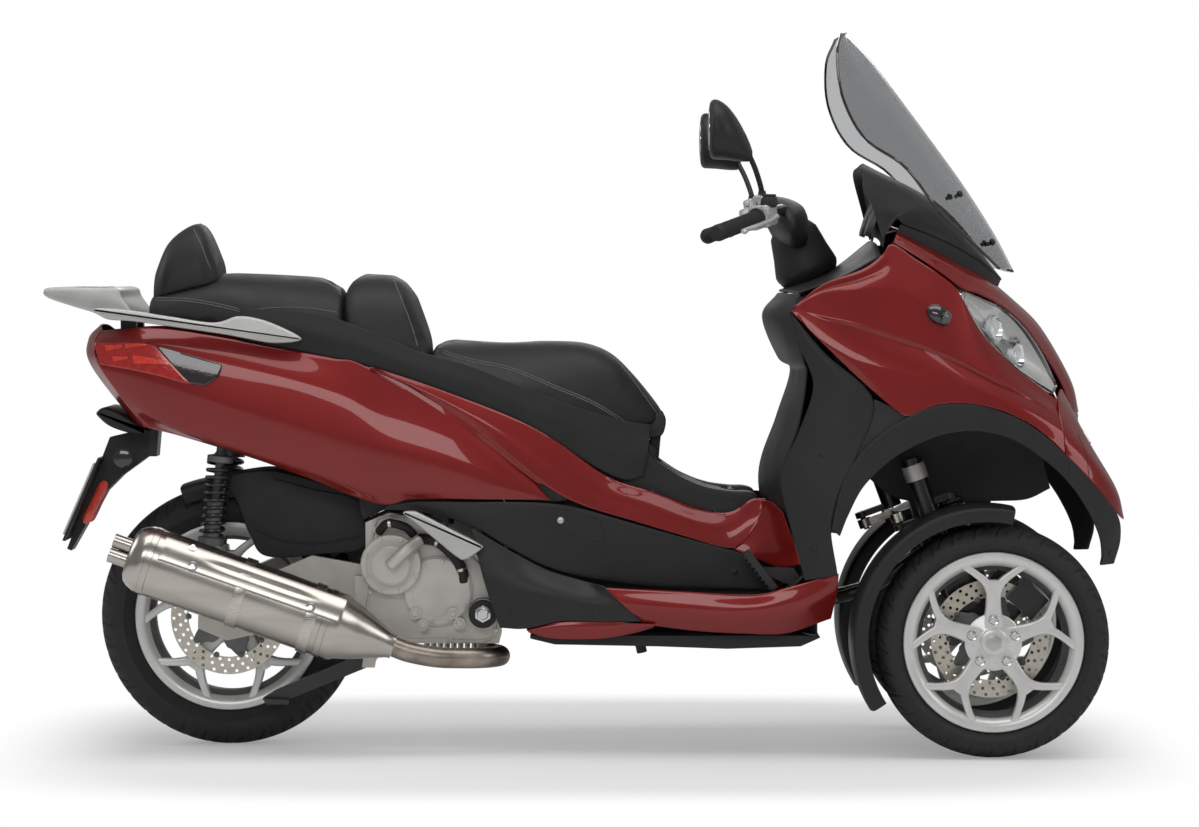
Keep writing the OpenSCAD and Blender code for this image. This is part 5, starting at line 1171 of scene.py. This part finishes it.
def ring_of(x, low, high, half, n=48, square=2.6, sides=10):
    """A ring with a flat bottom and a crowned top: powers of the cosine and sine of half a turn, closed along the
    bottom."""
    a = np.linspace(0, np.pi, n + 1)
    c, s = np.cos(a), np.sin(a)
    top = np.stack([np.full(n + 1, x), half * np.sign(c) * np.abs(c) ** (2 / square),
                    low + (high - low) * np.abs(s) ** (2 / square)], 1)
    base = np.stack([np.full(sides, x), np.linspace(-half, half, sides + 2)[1:-1], np.full(sides, low)], 1)
    return np.concatenate([top, base])


SIM_STEPS = 20


def stuffed(name, rings, node, swell, material="vinyl", shrink=0.985):
    """A padded piece: its rings lofted a little small, covered evenly with small faces, then swelled by air
    pressure with its underside held, no point moving further than swell."""
    rings = [ring_of(*r) for r in rings]
    pts, quads, caps = loft(rings, 60)
    centre = pts.reshape(-1, 3).mean(0)
    pts = (pts - centre) * [shrink, shrink, 1.0] + centre
    piece = make(name, [(pts, quads, caps)], material, "saddle", node, smooth=0)
    remesh = piece.modifiers.new("even", "REMESH")
    remesh.mode, remesh.voxel_size = "VOXEL", 0.0055
    soften = piece.modifiers.new("soften", "SMOOTH")
    soften.factor, soften.iterations = 0.5, 6
    graph = bpy.context.evaluated_depsgraph_get()
    even = bpy.data.meshes.new_from_object(piece.evaluated_get(graph))
    piece.modifiers.clear()
    piece.data = even
    even.materials.clear()
    even.materials.append(M[material])
    count = len(even.vertices)
    rest = np.empty(count * 3)
    even.vertices.foreach_get("co", rest)
    rest = rest.reshape(-1, 3)
    normal = np.empty(count * 3)
    even.vertices.foreach_get("normal", normal)
    held = normal.reshape(-1, 3)[:, 2] < -0.35
    pin = piece.vertex_groups.new(name="held")
    pin.add(np.flatnonzero(held).tolist(), 1.0, "REPLACE")
    cloth = piece.modifiers.new("swell", "CLOTH")
    cloth.settings.use_pressure = True
    cloth.settings.uniform_pressure_force = 4.0
    cloth.settings.quality = 4
    cloth.settings.tension_stiffness = cloth.settings.compression_stiffness = 12
    cloth.settings.bending_stiffness = 2
    cloth.settings.effector_weights.gravity = 0
    cloth.settings.vertex_group_mass = "held"
    cloth.point_cache.frame_start, cloth.point_cache.frame_end = 1, SIM_STEPS
    for moment in range(1, SIM_STEPS + 1):
        scene.frame_set(moment)
    graph = bpy.context.evaluated_depsgraph_get()
    swelled = piece.evaluated_get(graph).to_mesh()
    now = np.empty(count * 3)
    swelled.vertices.foreach_get("co", now)
    step = now.reshape(-1, 3) - rest
    size = np.linalg.norm(step, axis=1, keepdims=True)
    rest = rest + step * np.minimum(1, swell * MM / np.maximum(size, 1e-9))
    piece.evaluated_get(graph).to_mesh_clear()
    piece.modifiers.clear()
    piece.vertex_groups.clear()
    scene.frame_set(1)
    even.vertices.foreach_set("co", rest.ravel())
    even.polygons.foreach_set("use_smooth", [True] * len(even.polygons))
    even.update()
    finer = piece.modifiers.new("finer", "SUBSURF")
    finer.levels = finer.render_levels = 1
    return piece


RIDER = [(-316, 762, 838, 165), (-240, 728, 832, 166), (-155, 692, 828, 160), (-60, 642, 834, 152),
         (0, 636, 834, 142), (55, 644, 814, 126), (100, 656, 772, 110), (145, 672, 718, 88), (164, 682, 692, 66)]
PILLION = [(-898, 900, 918, 100), (-880, 890, 944, 132), (-760, 880, 976, 150), (-676, 858, 974, 156),
           (-577, 828, 966, 160), (-494, 806, 958, 164)]
LUMBAR = [(-490, 804, 958, 160), (-470, 800, 974, 160), (-390, 782, 972, 162), (-360, 774, 950, 162),
          (-320, 764, 850, 160)]
REST = [(-888, 922, 985, 90), (-860, 934, 1046, 112), (-808, 947, 1082, 116), (-780, 953, 1070, 114),
        (-752, 960, 1005, 100)]
rider = stuffed("rider_cushion", RIDER, "rider_seat", 8)
pillion = stuffed("pillion_cushion", PILLION, "passenger_seat", 8)
lumbar = stuffed("lumbar_cushion", LUMBAR, "lumbar_pad", 6)
backrest = stuffed("backrest_cushion", REST, "backrest", 6)


def seam(cushion, line, twin=0.0, n=90, r=1.1):
    """A stitched seam on both flanks of a cushion: a smooth line of (x, z) seen from the side is thrown onto the
    cushion along Y, and a thread whose thickness swells with each stitch is laid there; twin sets a second thread
    at that distance."""
    threads = []
    for shift in ((0.0, twin) if twin else (0.0,)):
        x, z = curve(line, np.linspace(0, 1, n)).T
        for side in (-1, 1):
            inward = Vector((0, -side, 0))
            found = [cushion.ray_cast(Vector((px * MM, side * 0.4, (pz - shift) * MM)), inward)
                     for px, pz in zip(x, z)]
            path = np.array([np.array(at) / MM + 0.2 * np.array(normal) for hit, at, normal, _ in found if hit])
            if len(path) < 8:
                continue
            far = np.concatenate([[0], np.cumsum(np.linalg.norm(np.diff(path, axis=0), axis=1))])
            even = np.arange(0, far[-1], 1.5)
            path = np.stack([np.interp(even, far, path[:, k]) for k in range(3)], 1)
            grow = 0.62 + 0.38 * np.abs(np.sin(even * np.pi / 6))
            threads.append(swept(path, circle(r, 6), (0, 1, 0), grow))
    return threads


SKIRT = [
    [[-700, -152, 842], [-600, -160, 826], [-520, -166, 808], [-450, -169, 795], [-400, -169, 777], [-333, -169, 755],
     [-240, -167, 721], [-150, -163, 684], [-60, -157, 637], [20, -150, 587], [80, -142, 560], [119, -137, 566]],
    [[-700, -160, 876], [-600, -167, 866], [-520, -172, 850], [-460, -174, 836], [-400, -174, 812], [-333, -174, 787],
     [-240, -173, 757], [-150, -169, 719], [-60, -162, 680], [20, -153, 642], [84, -143, 618], [128, -136, 612]],
    [[-700, -153, 908], [-600, -160, 902], [-520, -164, 890], [-470, -165, 874], [-400, -165, 846], [-333, -166, 818],
     [-240, -167, 792], [-150, -163, 756], [-60, -154, 722], [20, -142, 694], [88, -124, 676], [136, -104, 668]],
]
make("seat_skirts", mirror([shell(patch(SKIRT, 90, 20), SKIN)]), "vinyl", "saddle")
nose_cheek = closed_curve([[50, 650], [104, 668], [150, 690], [163, 690], [168, 674], [161, 648], [140, 640],
                           [100, 640], [66, 638]], 64)
make("nose_cheeks", mirror([plate(nose_cheek, -80, -70, edge=4, n=4)]), "dark_plastic", "saddle")
apron = closed_curve([[96, 600], [104, 628], [120, 633], [134, 630], [146, 618], [151, 602], [153, 590], [146, 582],
                      [118, 586]], 64)
make("hinge_apron", [plate(apron, -112, 112, edge=9, n=5)], "black_plastic")
bpy.context.view_layer.update()
threads = seam(rider, [[-290, 822], [-240, 806], [-150, 786], [-60, 750], [20, 716], [90, 672]], 5.0)
threads += seam(rider, [[60, 806], [96, 764], [128, 720], [150, 690]])
threads += seam(pillion, [[-880, 930], [-790, 925], [-690, 902], [-610, 862], [-560, 838]], 5.0)
threads += seam(pillion, [[-690, 905], [-620, 910], [-560, 908], [-505, 900]])
threads += seam(lumbar, [[-394, 968], [-376, 930], [-356, 880], [-340, 830]])
threads += seam(backrest, [[-806, 1072], [-788, 1040], [-772, 1000], [-766, 988]])
make("seat_stitching", threads, "thread", "saddle")


# Controls

GRIP_IN, GRIP_OUT = np.array([348, -262, 1090.5]), np.array([266, -372, 1060.0])
GRIP_WAY = unit(GRIP_OUT - GRIP_IN)
GRIP_LONG = float(np.linalg.norm(GRIP_OUT - GRIP_IN))
GRIP_TURN = towards(GRIP_WAY, (0, 0, 1))
rib_at = np.linspace(8, GRIP_LONG - 12, 120)
ribs = np.stack([15.6 + 1.0 * (np.sin(rib_at * 2 * np.pi / 5.2) > 0), rib_at], 1)
grip = np.concatenate([[(0, 0), (20, 0), (21, 2), (20, 5), (16, 7)], ribs,
                       [(16.5, GRIP_LONG - 9), (17, GRIP_LONG - 8)],
                       [(17, GRIP_LONG + 2), (14, GRIP_LONG + 8), (0, GRIP_LONG + 8)]])
make("grip_sleeves", mirror(moved([spun(grip, 40)], GRIP_TURN, GRIP_IN)), "rubber", "handlebar", "grips")
pod_at = GRIP_IN - 22 * GRIP_WAY
pods = moved([block((-24, -22, -22), (24, 26, 22), 9)], GRIP_TURN, pod_at)
make("switch_pods", mirror(pods), "silver_paint", "handlebar")
keys = [block((-26, -8, -12), (-20, 8, -2), 2), block((-26, -12, 4), (-21, 4, 14), 2)]
make("switches", mirror(moved(keys, GRIP_TURN, pod_at)), "dark_plastic", "handlebar")
make("stop_switch", moved([block((-8, 24, -9), (8, 31, 9), 3)], GRIP_TURN, pod_at), "red_plastic", "handlebar")
fwd = unit(np.cross(GRIP_WAY, (0, 0, 1)))
fwd = fwd if fwd[0] > 0 else -fwd
lever = [pod_at + ahead * fwd + out * GRIP_WAY for ahead, out in ((34, 8), (46, 40), (52, 90), (50, 130), (56, 158))]
lever_path = curve(lever, np.linspace(0, 1, 40))
lever_grow = np.interp(np.linspace(0, 1, 40), [0, 0.1, 0.8, 0.93, 1], [1.3, 1.1, 0.8, 1.1, 0.5])
lever_clamp = moved([block((-14, 18, -14), (14, 44, 14), 6)], GRIP_TURN, pod_at)
make("levers", mirror([swept(lever_path, circle(7, 14, 0.75), (0, 0, 1), lever_grow), *lever_clamp]), "silver_paint",
     "handlebar")
reservoir = moved([block((-17, -15, -13), (17, 15, 10), 6), block((-15, -13, 9), (15, 13, 14), 3)], None,
                  pod_at + 14 * fwd + 2 * GRIP_WAY + [0, 0, 30])
make("brake_reservoirs", mirror(reservoir), "dark_plastic", "handlebar")
ON_STEM = towards((-math.sin(RAKE), 0, math.cos(RAKE)))
cover_rings = [oval(376, 0, 1108, 42, 24), oval(382, 0, 1106, 90, 34), oval(395, 0, 1096, 150, 44),
               oval(425, 0, 1082, 172, 52), oval(450, 0, 1075, 120, 46), oval(460, 0, 1071, 76, 34),
               oval(464, 0, 1070, 40, 20)]
boot = [(44, 1018), (58, 1032), (65, 1046), (66.5, 1054), (64, 1066), (58, 1090), (54, 1112), (50, 1132), (40, 1146),
        (0.1, 1148)]
make("bar_shroud", [loft(cover_rings, 36), *moved([spun(boot, 64)], ON_STEM, (821, 0, 0))], "black_plastic",
     "handlebar", "bar_cover")

mirror_rings = [oval(249, -328, 1266, 36, 42), oval(251, -328, 1266, 48, 53), oval(257, -329, 1266, 56, 59),
                oval(268, -329, 1265, 58, 59), oval(285, -327, 1259, 54, 54), oval(303, -322, 1247, 44, 44),
                oval(319, -316, 1233, 31, 31), oval(330, -311, 1222, 18, 19), oval(336, -308, 1216, 7, 8)]
stalk = tube([[358, -248, 1122], [357, -250, 1146], [344, -276, 1186], [326, -308, 1224]], 5.5)
stalk_foot = moved([spun([(0, 0), (13, 0), (13, 6), (9, 10), (8, 22), (7, 26), (0, 27)], 28)], None,
                   (358, -248, 1120))
make("mirror_shells", mirror([loft(mirror_rings, 40), stalk, *stalk_foot]), "black_plastic", "handlebar", "mirrors")
around = np.linspace(0, 2 * np.pi, 48, endpoint=False)
share = np.linspace(0.02, 1, 10)[:, None]
glass = np.stack([248.6 - 2.0 * (1 - share ** 2) + 0 * around, -328 + 35 * share * np.cos(around),
                  1266 + 41 * share * np.sin(around)], -1)
glass = np.concatenate([glass, glass[-1:] + [3.0, 0, 0]])
make("mirror_faces", mirror([(glass, grid_faces(11, 48, wrap_v=True), end_caps(11, 48))]), "mirror_glass",
     "handlebar")


# Pegs and pedal

peg = closed_curve([[-367, 495], [-350, 499], [-332, 494], [-269, 462], [-212, 432], [-208, 422], [-240, 401],
                    [-258, 406], [-300, 440], [-341, 474]], 64)
peg_pin = moved([revolved([(0.1, 0), (9, 0), (9, 48), (0.1, 48)], 24)], None, (-290, -208, 462))
make("pegs", mirror([plate(peg, -232, -207, edge=5, n=4), *peg_pin]), "silver_paint", replaced="footpegs")
pads = []
for k in np.linspace(0.08, 0.92, 8):
    x, z = 321 + 58 * k, 411 - 74 * k
    pads.append(tube([[x, -238, z], [x, -218, z], [x, -197, z]], 3.2, 6, 10))
make("pedal_ribs", pads, "rubber")


# Lamps

def lens_on(rails, back, front, low, high, crease=0.0, nu=32, nt=16, rise=5.0):
    """A lens lying on a panel: at each share b of its height it runs from back(b) to front(b) along the rails, and
    at each share a of its length it reaches from low(a) to high(a) across them."""
    a, b = np.meshgrid(np.linspace(0, 1, nu + 1), np.linspace(0, 1, nt + 1), indexing="ij")
    u = back(b) + (front(b) - back(b)) * a
    return shell(on_patch(rails, u, low(u) + (high(u) - low(u)) * b, crease), rise, rise)


def slant(start, slope=0.0):
    """A straight edge of a lens: a share that starts at a value and changes evenly."""
    def edge(share):
        return start + slope * share
    return edge


def tail_low(u):
    """Lower edge of the tail lamp across the side panel: level, then rising to the front tip."""
    return np.interp(u, [0.0, 0.20, 0.24, 0.27, 0.285], [0.55, 0.545, 0.57, 0.64, 0.71])


def tail_high(u):
    """Upper edge of the tail lamp across the side panel."""
    return np.interp(u, [0.0, 0.15, 0.285], [0.75, 0.742, 0.722])


tail_red = lens_on(SIDE, slant(0.004), slant(0.212, -0.055), tail_low, tail_high, SIDE_CREASE)
tail_smoked = lens_on(SIDE, slant(0.213, -0.055), slant(0.285), tail_low, tail_high, SIDE_CREASE)
make("tail_lenses", mirror([tail_red]), "red_lens", replaced="tail_lamps")
make("tail_lens_fronts", mirror([tail_smoked]), "smoke_lens")
facets = []
for u, t, du, dt in ((0.03, 0.70, 0.045, 0.05), (0.085, 0.72, 0.05, 0.03), (0.10, 0.62, 0.08, 0.05),
                     (0.045, 0.61, 0.04, 0.035)):
    a, b = np.meshgrid(np.linspace(0, 1, 13), np.linspace(-0.5, 0.5, 9), indexing="ij")
    facets.append(shell(on_patch(SIDE, u + du * a, t + dt * b * (1 - 0.7 * a) + 0.02 * a, SIDE_CREASE), 2.0, 7.0))
make("tail_lamp_facets", mirror(facets), "red_glow")
near = on_patch(FAIRING, np.array([0.513, 0.523, 0.513]), np.array([0.722, 0.722, 0.742]), FAIRING_CREASE)
turn_along, turn_out = unit(near[1] - near[0]), unit(np.cross(near[1] - near[0], near[2] - near[0]))
turn_out = turn_out * (1 if turn_out[1] < 0 else -1)
turn_frame = np.stack([turn_along, np.cross(turn_out, turn_along), turn_out], 1)
lift = np.radians(np.linspace(0, 90, 9))
egg, egg_faces = spun([(1, -0.25), *np.column_stack([np.cos(lift), np.sin(lift)])], 40)
turn_body = moved([(egg * [27, 20, 17], egg_faces)], turn_frame, near[0])
turn_lens = moved([(egg * [14, 17, 18], egg_faces)], turn_frame, near[0] + 13 * turn_along + 2 * turn_out)
make("front_turn_bodies", mirror(turn_body), "smoke_lens", replaced="indicators")
make("front_turn_lenses", mirror(turn_lens), "clear_lens")
rear_turn = [(0, -30), (8, -30), (9, -28), (9, -58), (13, -60), (18, -88), (20, -94), (14, -97), (0, -98)]
make("rear_turn_lenses", mirror(moved([stood_up(spun(rear_turn, 32))], None, (-950, 0, 600))), "smoke_lens")
position_lamp = lens_on(both(BEAK), slant(0.285, 0.02), slant(0.375, -0.01), slant(0.63), slant(0.72),
                        nu=20, nt=10, rise=4.0)
make("position_lamps", mirror([position_lamp]), "bright")
lamp = patch(LAMP, 48, 24)
dip_along, dip_across = (np.sin(np.linspace(0.04, 0.96, n) * np.pi) ** 0.6 for n in (49, 25))
dip = dip_along[:, None] * dip_across[None]
bowl = lamp - grid_normals(lamp) * (6 + 34 * dip)[..., None]
make("headlamp_bowls", mirror([shell(bowl, 2)]), "silver_paint")
reflectors = []
for u, t, r in ((0.32, 0.5, 26), (0.58, 0.5, 30)):
    i, j = int(u * 48), int(t * 24)
    out = grid_normals(lamp)[i, j]
    at, facing = lamp[i, j] - 40 * out, towards(unit(out + [0.8, 0, 0]))
    cup = [(0, 0), (r * 0.5, 2), (r * 0.8, 9), (r, 22), (r + 1.5, 22), (r * 0.84, 8), (r * 0.5, 0.5), (0, -1.5)]
    bulb = [(0, 3), (6, 4), (7, 10), (5, 16), (0, 18)]
    reflectors += moved([spun(cup, 40), spun(bulb, 20)], facing, at)
make("headlamp_reflectors", mirror(reflectors), "mirror_glass")
